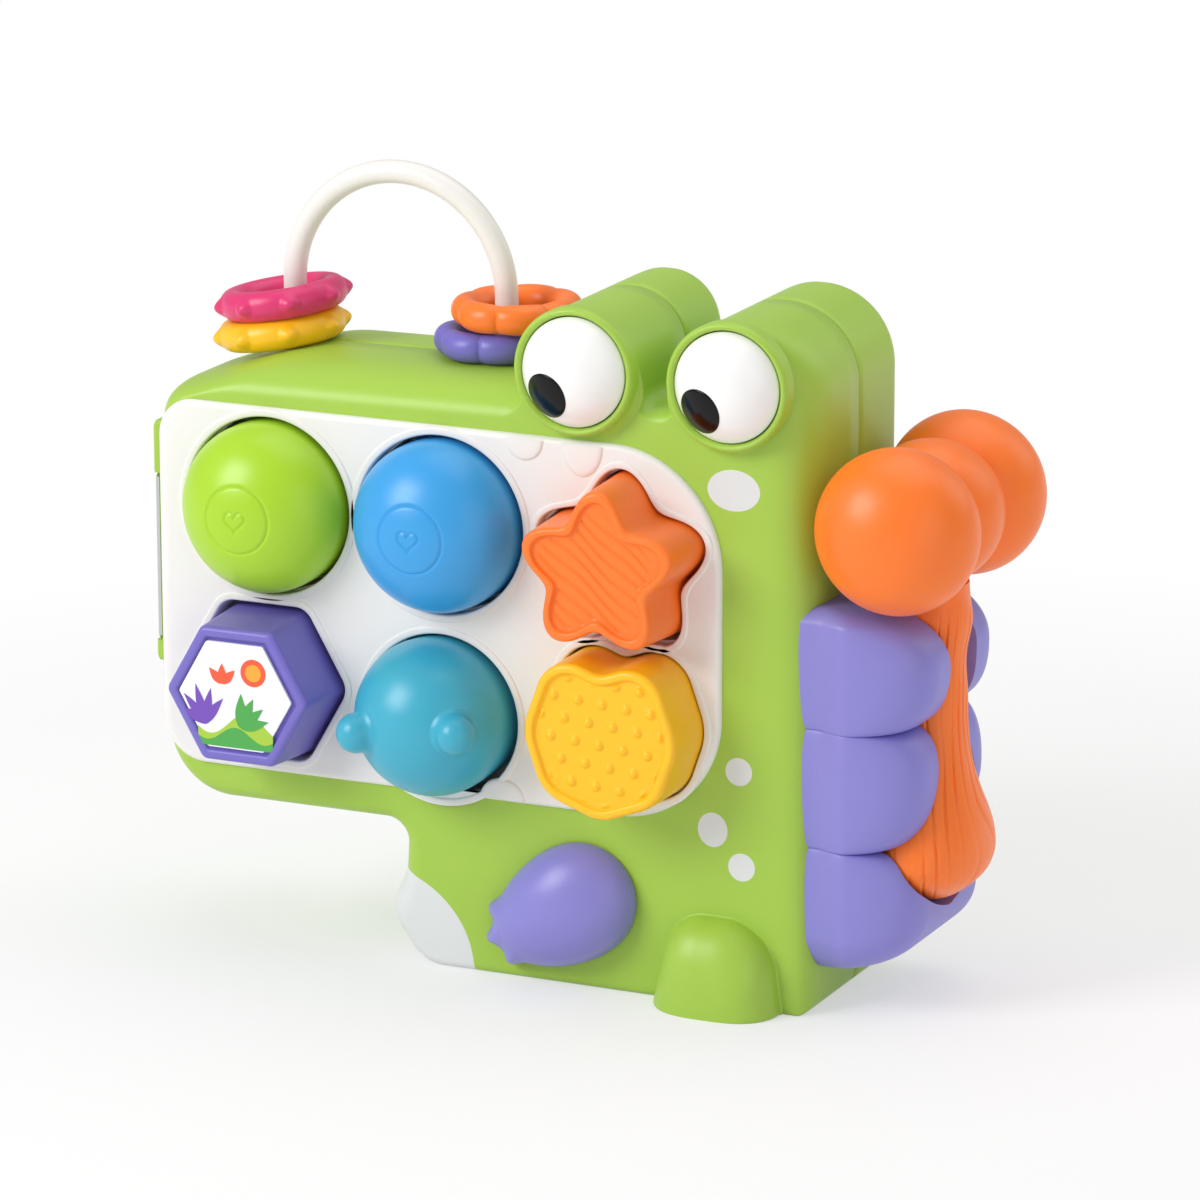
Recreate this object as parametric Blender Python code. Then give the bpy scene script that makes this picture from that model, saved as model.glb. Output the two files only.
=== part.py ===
"""Shape sorter: a toy animal standing upright on a flat base, with six shape blocks in its mouth plate,
rolling eyes, rings on a handle, a turning paw, a mirror on the snout and a hammer clipped to its back.

Metres, +Z up. The front looks along -Y and +X is the animal's back. The origin lies on the base, below
the eyes' midline, in the middle of the body's depth.
"""
import math

import bmesh
import bpy

# Body housing
BODY_DEPTH = 0.068
BODY_WALL = 0.0025
SEAM_Y = 0.002
FIT_GAP = 0.0003
BODY_RIGHT = 0.0585
SNOUT_LEFT = -0.156
BROW_Z = 0.1805
SNOUT_SHOULDER_X = -0.117
SNOUT_SHOULDER_Z = 0.1795
SNOUT_CORNER_Z = 0.167
JAW_Z = 0.043
NECK_X = -0.0735
WAIST_X = -0.0742
WAIST_Z = 0.028
BELLY_LEFT = -0.0802
BELLY_Z = 0.0145
BASE_LEFT = -0.07
BASE_ROUND = 0.013
BASE_RIGHT_ROUND = 0.012
SHOULDER_ROUND = 0.0228
BELLY_ROUND = 0.011
WAIST_ROUND = 0.012
NECK_ROUND = 0.006
JAW_ROUND = 0.023
SNOUT_CORNER_ROUND = 0.012
SNOUT_SHOULDER_ROUND = 0.05
BROW_ROUND = 0.004
VALLEY_ROUND = 0.004
VALLEY_Z = 0.178

# Edge softening of the housing: how far an edge reaches back from the face, and how far it drops there
SMALL_RUN = 0.003
SIDE_FRONT_RUN = 0.016
SIDE_REAR_RUN = 0.01
TUBE_FRONT_RUN = 0.0025
TUBE_TOP_RUN = 0.02
TUBE_REAR_RUN = 0.009
TUBE_STEP = 0.001
VALLEY_REAR_DROP = 0.006
CROWN_DROP = 0.008
CROWN_REAR_DROP = 0.005
SLOPE_DROP = 0.004
SNOUT_END_RUN = 0.02
SNOUT_END_DROP = 0.009
SNOUT_REAR_RUN = 0.01
SNOUT_REAR_DROP = 0.004
JAW_RUN = 0.008
JAW_DROP = 0.005
BELLY_RUN = 0.01
BELLY_DROP = 0.008
OUTER_LEVEL_SHARES = (0.0, 0.04, 0.16, 0.45)
INNER_LEVEL_SHARES = (0.0,)

# Eyes
LEFT_EYE_X = -0.0141
RIGHT_EYE_X = 0.0341
EYE_Z = 0.187
EYE_TUBE_R = 0.019
EYE_RIM_PROUD = 0.005
EYE_SOCKET_SHARE = 0.863
EYE_SOCKET_DEPTH = 0.019
EYE_FLOOR = 0.002
EYE_CUP_STEP = 0.0014
EYE_BALL_GAP = 0.0004
EYE_DOME_SINK = 0.001
EYE_DOME_H = 0.009
EYE_SKIRT = 0.005
STEM_R = 0.003
STEM_GAP = 0.0003
STEM_SPARE = 0.003
RETAINER_R = 0.006
RETAINER_T = 0.002
PUPIL_R = 0.007
PUPIL_DX = -0.004
PUPIL_DZ = -0.0044
PUPIL_DEPTH = 0.0045
PUPIL_PROUD = 0.0003
PUPIL_STEPS = 16
EYE_STEPS = 18
EYE_LEVEL_SHARES = (0.03, 0.25, 0.5, 0.75, 1.0)
PUPIL_LEVEL_SHARES = (1.0, 0.8, 0.4)

# Mouth plate with its six holes
PLATE_LEFT = -0.1525
PLATE_RIGHT = 0.0325
PLATE_BOTTOM = 0.0545
PLATE_TOP = 0.1668
PLATE_PROUD = 0.002
PLATE_EDGE = 0.0018
PLATE_FRONT_ROUND = 0.033
PLATE_JAW_ROUND = 0.014
PLATE_END_EDGE = 0.004
PLATE_CROWN_ROUND = 0.012
SOFT_EDGE_SHARE = 0.3
END_EDGE_SHARES = (0.22, 0.5, 0.62)
ROUND_ROW_Z = 0.1366
GREEN_X = -0.115
BLUE_X = -0.0583
DOME_HOLE_R = 0.027
DOME_SHARE = 0.74
ROUND_STEPS = 18
STAR_X = 0.0
STAR_Z = 0.1315
STAR_R = 0.0278
STAR_DIP = 0.0075
STAR_POINTS = 5
STAR_STEPS = 25
HEXAGON_X = -0.1165
HEXAGON_Z = 0.0828
HEXAGON_FLATS = 0.0474
HEXAGON_ROUND = 0.006
BALL_X = -0.0583
BALL_Z = 0.0785
BALL_HOLE_R = 0.025
BALL_DOME_SHARE = 0.948
HEART_X = 0.0015
HEART_Z = 0.0815
HEART_W = 0.0506
HEART_H = 0.0465
HEART_TIP_ROUND = 0.016
HEART_SIDE_ROUND = 0.02
HEART_LOBE_ROUND = 0.012
HEART_NOTCH_ROUND = 0.006
HEART_TIP_SHARE = 1.44
HEART_SIDE_SHARE = 1.087
HEART_SHOULDER_SHARE = 0.0
HEART_LOBE_X_SHARE = 0.66
HEART_LOBE_Z_SHARE = 1.22
HEART_NOTCH_SHARE = 0.93

# Pocket tray behind the plate
TRAY_T = 0.002
TRAY_LAP = 0.0033
TRAY_LEFT_IN = 0.0087
TRAY_TOP_IN = 0.0013
TRAY_JAW_ROUND = 0.0135
TRAY_CROWN_ROUND = 0.015
POCKET_DEPTH = 0.016
POCKET_WALL = 0.001
POCKET_FLOOR = 0.0016
PLATE_CLEARANCE = 0.0003

# Blocks
BLOCK_OUT = 0.02
DOME_OUT = 0.0215
BALL_OUT = 0.0247
BLOCK_PLAY = 0.0013
BLOCK_WALL = 0.002
BLOCK_EDGE = 0.0016
BLOCK_DRAFT = 0.0018
BLOCK_RIM = 0.0052
BLOCK_RECESS = 0.0014
BLOCK_VENT_R = 0.0015
KNOB_R = 0.006
KNOB_OUT = 0.0012
KNOB_ROOT_SHARE = 1.6
KNOB_NECK_SHARE = 0.8
KNOB_PLACE_SHARES = ((-0.58, -0.1), (0.66, 0.0))
PICTURE_T = 0.0009
PICTURE_GAP = 0.0003

# Handle arch with its rings
ARCH_X = -0.0894
ARCH_Z = 0.1975
ARCH_R = 0.0351
ARCH_ROD_R = 0.0035
ARCH_FOOT_R = 0.006
ARCH_FOOT_T = 0.002
ARCH_FOOT_Z = 0.1685
ARCH_HOLE_GAP = 0.0003
ARCH_STEPS = 10
RING_R = 0.0155
RING_TUBE_R = 0.0043
RING_H = 0.0045
RING_SIDES = 6
RING_STEPS = 24
RING_STACK_GAP = 0.0003
LEFT_STACK_X = -0.1288
LEFT_STACK_SHIFT = 0.0018
LEFT_STACK_SINK = 0.0005
LEFT_STACK_TILT_DEG = 9.5
LEFT_PIVOT_DROP = 0.003
RIGHT_STACK_X = -0.0569
RIGHT_STACK_SHIFT = 0.0042
RING_NUBS = 8
RING_LOBES = 7
RING_NUB_OUT = 0.0009
RING_LOBE_IN = 0.0012
RING_NUB_SHARE = 0.2
RING_CREASE_POWER = 0.6

# Back bumps
BUMP_BOTTOM = 0.013
BUMP_VALLEY_LOW = 0.0508
BUMP_VALLEY_HIGH = 0.0865
BUMP_TOP = 0.1225
BUMP_OUT = 0.0365
BUMP_COLUMN_Y = 0.022
BUMP_COLUMN_HALF = 0.0135
BUMP_VALLEY_SHARE = 0.62
BUMP_BASE_SHARE = 0.55
BUMP_END_SHARE = 0.75
BUMP_TAPER = 0.014
BUMP_WALL = 0.0025
BUMP_ROOT = 0.012
LOBE_POWER = 2.1
PILLOW_POWER = 0.7
BUMP_MIDDLE_OUT = 0.0145
BUMP_SHELF_Z = 0.0375
GROOVE_GAP = 0.0009

# Hammer
HAMMER_X = 0.0835
HAMMER_Z = 0.1482
HAMMER_BALL_Y = 0.026
HAMMER_BALL_R = 0.0243
HAMMER_BALL_HALF = 0.0205
HAMMER_WAIST_R = 0.0213
HAMMER_WALL = 0.0025
HANDLE_BOTTOM = 0.031
HANDLE_R = 0.0098
HANDLE_FAN_R = 0.0245
HANDLE_FAN_OUT = 0.014
HANDLE_FAN_Z = 0.046
HANDLE_FAN_POWER = 1.4
HANDLE_POWER = 2.2
HANDLE_STEPS = 16
HEAD_STEPS = 16
HEAD_LEVELS = 7
TENON_R = 0.0068
TENON_L = 0.01
TENON_GAP = 0.0003

# Paw
PAW_X = -0.0178
PAW_Z = 0.0255
PAW_LENGTH = 0.049
PAW_WIDTH = 0.0348
PAW_TILT_DEG = 31.0
PAW_EGG_SHARE = 0.17
PAW_H = 0.013
TOE_R = 0.0032
TOE_TURNS_DEG = (143.0, 168.0, 206.0)
PAW_STEPS = 20

# Foot
FOOT_X = 0.0317
FOOT_W = 0.0404
FOOT_TOP_SHARE = 0.86
FOOT_H = 0.0285
FOOT_OUT = 0.0132
FOOT_ROUND = 0.014
FOOT_ROOT = 0.003

# Mirror on the snout's end
MIRROR_Y = 0.025
MIRROR_BOTTOM = 0.0815
MIRROR_TOP = 0.156
MIRROR_RAIL_LOW = 0.0065
MIRROR_RAIL_HIGH = 0.016
MIRROR_BACK_T = 0.001
MIRROR_T = 0.0014
MIRROR_FRAME_T = 0.0032
MIRROR_EDGE = 0.0008

# Screws and their posts
SCREW_HEAD_R = 0.0034
SCREW_HEAD_T = 0.0022
SCREW_SHANK_R = 0.0013
SCREW_SHANK_L = 0.022
SCREW_SEAT_Y = 0.016
SCREW_SLOT_R = 0.0014
SCREW_SLOT_DEPTH = 0.0011
SCREW_TIP_SHARE = 0.4
SCREW_TOP_SHARE = 0.7
BOSS_R = 0.004
POST_R = 0.005
POST_BORE_GAP = 0.0004
BOSS_SIDE_X = 0.045
BOSS_HIGH_Z = 0.15
BOSS_MIDDLE_Z = 0.07
BOSS_BELLY_X = -0.052
BOSS_BELLY_Z = 0.02
BOSS_BASE_X = 0.03
BOSS_BASE_Z = 0.014
TRAY_POST_LEFT_Z = 0.108
TRAY_POST_RIGHT_Z = 0.106
BOSS_PLACES = (
    (BOSS_SIDE_X, BOSS_HIGH_Z),
    (BOSS_SIDE_X, BOSS_MIDDLE_Z),
    (BOSS_BELLY_X, BOSS_BELLY_Z),
    (BOSS_BASE_X, BOSS_BASE_Z),
)
TRAY_POST_PLACES = (
    ((GREEN_X + BLUE_X) / 2, TRAY_POST_LEFT_Z),
    ((BLUE_X + STAR_X) / 2, TRAY_POST_RIGHT_Z),
)
POST_STEPS = 6

# Helpers' own values
OVERRUN = 0.002
SMALLEST_ROUND = 0.001
SIDES = 12
KNOB_SIDES = 8
SHARP_ANGLE_DEG = 35
POLE = 0.0004
STRAIGHT_SHARE = 0.97

EYE_SOCKET_R = EYE_TUBE_R * EYE_SOCKET_SHARE
FRONT_Y = -BODY_DEPTH / 2
REAR_Y = BODY_DEPTH / 2
PLATE_Y = FRONT_Y - PLATE_PROUD
WALL_BACK_Y = FRONT_Y + BODY_WALL
TRAY_Y = WALL_BACK_Y + PLATE_CLEARANCE
POCKET_Y = PLATE_Y + POCKET_DEPTH
BLOCK_BACK_Y = POCKET_Y - FIT_GAP
BLOCK_FRONT_Y = PLATE_Y - BLOCK_OUT


def clear_scene():
    """Start from an empty scene."""
    for item in list(bpy.data.objects):
        bpy.data.objects.remove(item, do_unlink=True)


def srgb(red, green, blue):
    """A colour as the eye reads it, turned into the linear values that a shader takes."""
    shares = (red, green, blue)
    return tuple(c / 12.92 if c <= 0.04045 else ((c + 0.055) / 1.055) ** 2.4 for c in shares) + (1.0,)


FINISHES = {
    "green": (srgb(0.62, 0.80, 0.27), 0.42, 0.0),
    "white": (srgb(0.94, 0.93, 0.92), 0.45, 0.0),
    "lime": (srgb(0.62, 0.82, 0.16), 0.35, 0.0),
    "blue": (srgb(0.20, 0.62, 0.89), 0.35, 0.0),
    "orange": (srgb(1.00, 0.50, 0.16), 0.38, 0.0),
    "yellow": (srgb(1.00, 0.76, 0.10), 0.38, 0.0),
    "teal": (srgb(0.22, 0.66, 0.77), 0.35, 0.0),
    "purple": (srgb(0.54, 0.51, 0.82), 0.42, 0.0),
    "violet": (srgb(0.45, 0.40, 0.75), 0.38, 0.0),
    "magenta": (srgb(0.86, 0.21, 0.45), 0.38, 0.0),
    "eye_white": (srgb(0.95, 0.94, 0.93), 0.25, 0.0),
    "black": (srgb(0.02, 0.02, 0.02), 0.12, 0.0),
    "mirror": (srgb(0.80, 0.82, 0.82), 0.08, 1.0),
    "steel": (srgb(0.60, 0.60, 0.60), 0.35, 1.0),
}


def material(finish):
    """The Principled material of a finish, made once."""
    found = bpy.data.materials.get(finish)
    if found:
        return found
    colour, roughness, metallic = FINISHES[finish]
    made = bpy.data.materials.new(finish)
    made.use_nodes = True
    shader = made.node_tree.nodes["Principled BSDF"]
    shader.inputs["Base Color"].default_value = colour
    shader.inputs["Roughness"].default_value = roughness
    shader.inputs["Metallic"].default_value = metallic
    return made


def place(name, mesh, finish, pivot=(0, 0, 0)):
    """Link a mesh as a named sub-part whose origin lies at its pivot."""
    item = bpy.data.objects.new(name, mesh)
    bpy.context.scene.collection.objects.link(item)
    mesh.materials.append(material(finish))
    for vertex in mesh.vertices:
        vertex.co = [value - shift for value, shift in zip(vertex.co, pivot)]
    item.location = pivot
    mesh.shade_smooth()
    mesh.set_sharp_from_angle(angle=math.radians(SHARP_ANGLE_DEG))
    return item


def tool(name, mesh):
    """Link a mesh as a hidden cutter or addition for a Boolean."""
    item = bpy.data.objects.new(name, mesh)
    bpy.context.scene.collection.objects.link(item)
    item.hide_render = True
    item.display_type = "WIRE"
    return item


def boolean(item, other, operation):
    """Put a Boolean with a hidden tool on a sub-part."""
    step = item.modifiers.new(operation.lower() + "_" + other.name, "BOOLEAN")
    step.operation = operation
    step.object = other


def mesh_of(name, bm):
    """Close a bmesh into a mesh with its faces pointing outwards."""
    bmesh.ops.recalc_face_normals(bm, faces=bm.faces)
    mesh = bpy.data.meshes.new(name)
    bm.to_mesh(mesh)
    bm.free()
    return mesh


def loft(name, sections, ring=False):
    """A closed body through sections of equal count: capped at both ends, or joined into a ring."""
    bm = bmesh.new()
    rows = [[bm.verts.new(point) for point in section] for section in sections]
    count = len(rows[0])
    pairs = list(zip(rows, rows[1:]))
    if ring:
        pairs.append((rows[-1], rows[0]))
    else:
        bm.faces.new(rows[0])
        bm.faces.new(rows[-1])
    for low, high in pairs:
        for i in range(count):
            j = (i + 1) % count
            bm.faces.new((low[i], low[j], high[j], high[i]))
    return mesh_of(name, bm)


def combined(name, meshes):
    """Several separate bodies in one mesh, as one tool."""
    bm = bmesh.new()
    for mesh in meshes:
        bm.from_mesh(mesh)
    made = bpy.data.meshes.new(name)
    bm.to_mesh(made)
    bm.free()
    return made


def at_y(outline, y):
    """An outline of (x, z) points as a section at a depth."""
    return [(x, y, z) for x, z in outline]


def at_z(outline, z):
    """An outline of (x, y) points as a section at a height."""
    return [(x, y, z) for x, y in outline]


def circle(radius, steps, x=0.0, z=0.0):
    """Points of a circle, starting at +X."""
    turns = [2 * math.pi * i / steps for i in range(steps)]
    return [(x + radius * math.cos(a), z + radius * math.sin(a)) for a in turns]


def turned(name, profile, steps, x=0.0, z=0.0, ring=False):
    """A body turned about an axis along Y: the profile gives (y, radius) pairs."""
    return loft(name, [at_y(circle(radius, steps, x, z), y) for y, radius in profile], ring)


def offset_corner(before, here, after, inset_in, inset_out):
    """Where two edges meet after each has moved inwards by its own inset."""
    ux, uz = here[0] - before[0], here[1] - before[1]
    vx, vz = after[0] - here[0], after[1] - here[1]
    ul, vl = math.hypot(ux, uz), math.hypot(vx, vz)
    ux, uz, vx, vz = ux / ul, uz / ul, vx / vl, vz / vl
    cross = ux * vz - uz * vx
    along = (inset_out - inset_in * (ux * vx + uz * vz)) / cross
    x = here[0] - uz * inset_in - ux * along
    z = here[1] + ux * inset_in - uz * along
    return x, z, ux, uz, vx, vz, cross


def rounded(corners, insets):
    """An outline from (x, z, round, steps) corners, counter-clockwise, whose edges move inwards by insets.

    A convex round shrinks with the mean of its two insets and a hollow one grows, as parallel walls do.
    Two rounds that would meet on an edge are drawn in alike until they leave a little of it straight.
    """
    count = len(corners)
    moved = []
    for i, (x, z, radius, steps) in enumerate(corners):
        before, after = corners[i - 1], corners[(i + 1) % count]
        cx, cz, ux, uz, vx, vz, cross = offset_corner(before, (x, z), after, insets[i - 1], insets[i])
        side = 1 if cross > 0 else -1
        radius = max(radius - side * (insets[i - 1] + insets[i]) / 2, SMALLEST_ROUND)
        turn = math.atan2(abs(cross), ux * vx + uz * vz)
        moved.append((cx, cz, ux, uz, side, radius, turn, steps))
    reaches = [radius * math.tan(turn / 2) for _, _, _, _, _, radius, turn, _ in moved]
    room = []
    for i in range(count):
        here, after = moved[i], moved[(i + 1) % count]
        length = math.hypot(after[0] - here[0], after[1] - here[1])
        room.append(min(1.0, length * STRAIGHT_SHARE / (reaches[i] + reaches[(i + 1) % count])))
    points = []
    for i, (cx, cz, ux, uz, side, radius, turn, steps) in enumerate(moved):
        share = min(room[i - 1], room[i])
        radius *= share
        reach = reaches[i] * share
        mx, mz = cx - ux * reach - uz * radius * side, cz - uz * reach + ux * radius * side
        px, pz = uz * radius * side, -ux * radius * side
        for k in range(steps + 1):
            angle = turn * k / steps
            cos, sin = math.cos(angle), math.sin(angle) * side
            points.append((mx + px * cos - pz * sin, mz + px * sin + pz * cos))
    return points


def body_corners():
    """The housing's front view, counter-clockwise from the base's left end."""
    tube_r = EYE_TUBE_R - TUBE_STEP
    eye_top = EYE_Z + tube_r
    return [
        (BASE_LEFT, 0.0, BASE_ROUND, 3),
        (BODY_RIGHT, 0.0, BASE_RIGHT_ROUND, 3),
        (BODY_RIGHT, eye_top, SHOULDER_ROUND, 5),
        (RIGHT_EYE_X - tube_r, eye_top, tube_r, 4),
        (RIGHT_EYE_X - tube_r, VALLEY_Z, VALLEY_ROUND, 2),
        (LEFT_EYE_X + tube_r, VALLEY_Z, VALLEY_ROUND, 2),
        (LEFT_EYE_X + tube_r, eye_top, tube_r, 4),
        (LEFT_EYE_X - tube_r, eye_top, tube_r, 4),
        (LEFT_EYE_X - tube_r, BROW_Z, BROW_ROUND, 2),
        (SNOUT_SHOULDER_X, SNOUT_SHOULDER_Z, SNOUT_SHOULDER_ROUND, 3),
        (SNOUT_LEFT, SNOUT_CORNER_Z, SNOUT_CORNER_ROUND, 3),
        (SNOUT_LEFT, JAW_Z, JAW_ROUND, 4),
        (NECK_X, JAW_Z, NECK_ROUND, 2),
        (WAIST_X, WAIST_Z, WAIST_ROUND, 1),
        (BELLY_LEFT, BELLY_Z, BELLY_ROUND, 3),
    ]


# How each edge of the housing's outline softens: front run, front drop, rear run, rear drop
EDGE_SOFTNESS = (
    (SMALL_RUN, SMALL_RUN, SMALL_RUN, SMALL_RUN),
    (SIDE_FRONT_RUN, SIDE_FRONT_RUN, SIDE_REAR_RUN, SIDE_REAR_RUN),
    (TUBE_FRONT_RUN, TUBE_FRONT_RUN, TUBE_TOP_RUN, TUBE_REAR_RUN),
    (TUBE_FRONT_RUN, TUBE_FRONT_RUN, TUBE_REAR_RUN, TUBE_REAR_RUN),
    (TUBE_FRONT_RUN, TUBE_FRONT_RUN, TUBE_REAR_RUN, VALLEY_REAR_DROP),
    (TUBE_FRONT_RUN, TUBE_FRONT_RUN, TUBE_REAR_RUN, TUBE_REAR_RUN),
    (TUBE_FRONT_RUN, TUBE_FRONT_RUN, TUBE_TOP_RUN, TUBE_REAR_RUN),
    (TUBE_FRONT_RUN, TUBE_FRONT_RUN, TUBE_REAR_RUN, TUBE_REAR_RUN),
    (BODY_DEPTH / 2, CROWN_DROP, BODY_DEPTH / 2, CROWN_REAR_DROP),
    (BODY_DEPTH / 2, SLOPE_DROP, BODY_DEPTH / 2, SLOPE_DROP),
    (SNOUT_END_RUN, SNOUT_END_DROP, SNOUT_REAR_RUN, SNOUT_REAR_DROP),
    (JAW_RUN, JAW_DROP, JAW_RUN, JAW_DROP),
    (BELLY_RUN, BELLY_DROP, BELLY_RUN, BELLY_DROP),
    (BELLY_RUN, BELLY_DROP, BELLY_RUN, BELLY_DROP),
    (BELLY_RUN, BELLY_DROP, BELLY_RUN, BELLY_DROP),
)


def body_section(y, inset=0.0):
    """The housing's outline at a depth, a quarter ellipse of softening in front of and behind it."""
    half = BODY_DEPTH / 2 - inset
    insets = []
    for front_run, front_drop, rear_run, rear_drop in EDGE_SOFTNESS:
        run, drop = (front_run, front_drop) if y < 0 else (rear_run, rear_drop)
        reach = min(max((abs(y) - half + run) / run, 0.0), 1.0)
        insets.append(inset + drop * (1 - math.sqrt(1 - reach * reach)))
    return at_y(rounded(body_corners(), insets), y)


def half_levels(end_y, stop_y, shares):
    """Depths from one face of the housing to the seam, closer together near the face."""
    return [end_y + (stop_y - end_y) * share for share in shares] + [stop_y]


def half_shell(name, end_y, stop_y):
    """One half of the hollow housing, open at the seam: outer skin, rim and inner skin in one surface."""
    inner_end = end_y + math.copysign(BODY_WALL, stop_y - end_y)
    outer = [body_section(y) for y in half_levels(end_y, stop_y, OUTER_LEVEL_SHARES)]
    inner = [body_section(y, BODY_WALL) for y in half_levels(inner_end, stop_y, INNER_LEVEL_SHARES)]
    return loft(name, outer + inner[::-1])


def post(name, spot, start_y, stop_y, radius, steps=POST_STEPS):
    """A round post along Y."""
    x, z = spot
    return turned(name, [(start_y, radius), (stop_y, radius)], steps, x, z)


def dome_sections(outline, centre, base_y, height, levels=7, anchor_z=None):
    """Sections that close an outline into a dome towards -Y, shrinking it like a quarter ellipse."""
    cx, cz = centre
    foot_z = cz if anchor_z is None else anchor_z
    sections = []
    for k in range(levels + 1):
        angle = math.pi / 2 * k / levels
        scale = max(math.cos(angle), POLE / height)
        points = [(cx + (x - cx) * scale, foot_z + (z - foot_z) * scale) for x, z in outline]
        sections.append(at_y(points, base_y - height * math.sin(angle)))
    return sections


def superellipse(half_x, half_y, power, steps, x=0.0, y=0.0):
    """A rounded-square outline: power 2 is an ellipse, and higher powers are squarer."""
    points = []
    for i in range(steps):
        angle = 2 * math.pi * i / steps
        cos, sin = math.cos(angle), math.sin(angle)
        points.append((
            x + half_x * math.copysign(abs(cos) ** (2 / power), cos),
            y + half_y * math.copysign(abs(sin) ** (2 / power), sin),
        ))
    return points


def plate_outline(inset=0.0, end_inset=0.0):
    """The mouth plate's outline: its end at the snout may move in further, as it wraps round the snout."""
    corners = [
        (PLATE_LEFT, PLATE_BOTTOM, PLATE_JAW_ROUND, 3),
        (PLATE_RIGHT, PLATE_BOTTOM, PLATE_FRONT_ROUND, 7),
        (PLATE_RIGHT, PLATE_TOP, PLATE_FRONT_ROUND, 7),
        (PLATE_LEFT, PLATE_TOP, PLATE_CROWN_ROUND, 4),
    ]
    return rounded(corners, [inset, inset, inset, inset + end_inset])


def round_shape(x, z, radius, steps=ROUND_STEPS):
    """A round hole's outline as a function of its inset."""
    return lambda inset: circle(radius - inset, steps, x, z)


def star_shape(inset):
    """Five soft lobes, one pointing up: the radius swings once per lobe."""
    points = []
    for i in range(STAR_STEPS):
        angle = math.pi / 2 + 2 * math.pi * i / STAR_STEPS
        radius = STAR_R - inset - STAR_DIP / 2 * (1 - math.cos(STAR_POINTS * (angle - math.pi / 2)))
        points.append((STAR_X + radius * math.cos(angle), STAR_Z + radius * math.sin(angle)))
    return points


def hexagon_shape(inset):
    """A hexagon with level top and bottom flats."""
    reach = HEXAGON_FLATS / math.sqrt(3)
    corners = []
    for i in range(6):
        angle = math.pi / 3 * i
        x, z = HEXAGON_X + reach * math.cos(angle), HEXAGON_Z + reach * math.sin(angle)
        corners.append((x, z, HEXAGON_ROUND, 3))
    return rounded(corners, [inset] * 6)


def heart_shape(inset):
    """A full heart: a tip, two sides, two lobes and a shallow notch."""
    half_w, half_h = HEART_W / 2, HEART_H / 2
    side_x, side_z = half_w * HEART_SIDE_SHARE, HEART_Z - half_h * HEART_SHOULDER_SHARE
    lobe_x, lobe_z = half_w * HEART_LOBE_X_SHARE, HEART_Z + half_h * HEART_LOBE_Z_SHARE
    corners = [
        (HEART_X, HEART_Z - half_h * HEART_TIP_SHARE, HEART_TIP_ROUND, 4),
        (HEART_X + side_x, side_z, HEART_SIDE_ROUND, 4),
        (HEART_X + lobe_x, lobe_z, HEART_LOBE_ROUND, 5),
        (HEART_X, HEART_Z + half_h * HEART_NOTCH_SHARE, HEART_NOTCH_ROUND, 2),
        (HEART_X - lobe_x, lobe_z, HEART_LOBE_ROUND, 5),
        (HEART_X - side_x, side_z, HEART_SIDE_ROUND, 4),
    ]
    return rounded(corners, [inset] * len(corners))


HOLES = {
    "green": round_shape(GREEN_X, ROUND_ROW_Z, DOME_HOLE_R),
    "blue": round_shape(BLUE_X, ROUND_ROW_Z, DOME_HOLE_R),
    "star": star_shape,
    "hexagon": hexagon_shape,
    "ball": round_shape(BALL_X, BALL_Z, BALL_HOLE_R),
    "heart": heart_shape,
}
HOLE_CENTRES = {
    "green": (GREEN_X, ROUND_ROW_Z),
    "blue": (BLUE_X, ROUND_ROW_Z),
    "star": (STAR_X, STAR_Z),
    "hexagon": (HEXAGON_X, HEXAGON_Z),
    "ball": (BALL_X, BALL_Z),
    "heart": (HEART_X, HEART_Z),
}


def prism(name, outline, start_y, stop_y):
    """An outline pulled straight along Y."""
    return loft(name, [at_y(outline, start_y), at_y(outline, stop_y)])


def paw_point(angle):
    """A point on the paw's edge: an egg, fat end to the right and raised."""
    tilt = math.radians(PAW_TILT_DEG)
    along = PAW_LENGTH / 2 * math.cos(angle)
    across = PAW_WIDTH / 2 * math.sin(angle) * (1 + PAW_EGG_SHARE * math.cos(angle))
    x = PAW_X + along * math.cos(tilt) - across * math.sin(tilt)
    z = PAW_Z + along * math.sin(tilt) + across * math.cos(tilt)
    return x, z


def paw_outline():
    """The paw's whole edge."""
    return [paw_point(2 * math.pi * i / PAW_STEPS) for i in range(PAW_STEPS)]


def foot_mesh():
    """The sitting foot, a dome that stands on the base's level."""
    half = FOOT_W / 2
    top_half = half * FOOT_TOP_SHARE
    corners = [
        (FOOT_X - half, 0.0, SMALLEST_ROUND, 1),
        (FOOT_X + half, 0.0, SMALLEST_ROUND, 1),
        (FOOT_X + top_half, FOOT_H, FOOT_ROUND, 5),
        (FOOT_X - top_half, FOOT_H, FOOT_ROUND, 5),
    ]
    outline = rounded(corners, [0.0] * len(corners))
    dome = dome_sections(outline, (FOOT_X, 0.0), FRONT_Y, FOOT_OUT, 5)
    return loft("foot", [at_y(outline, FRONT_Y + FOOT_ROOT)] + dome)


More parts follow.
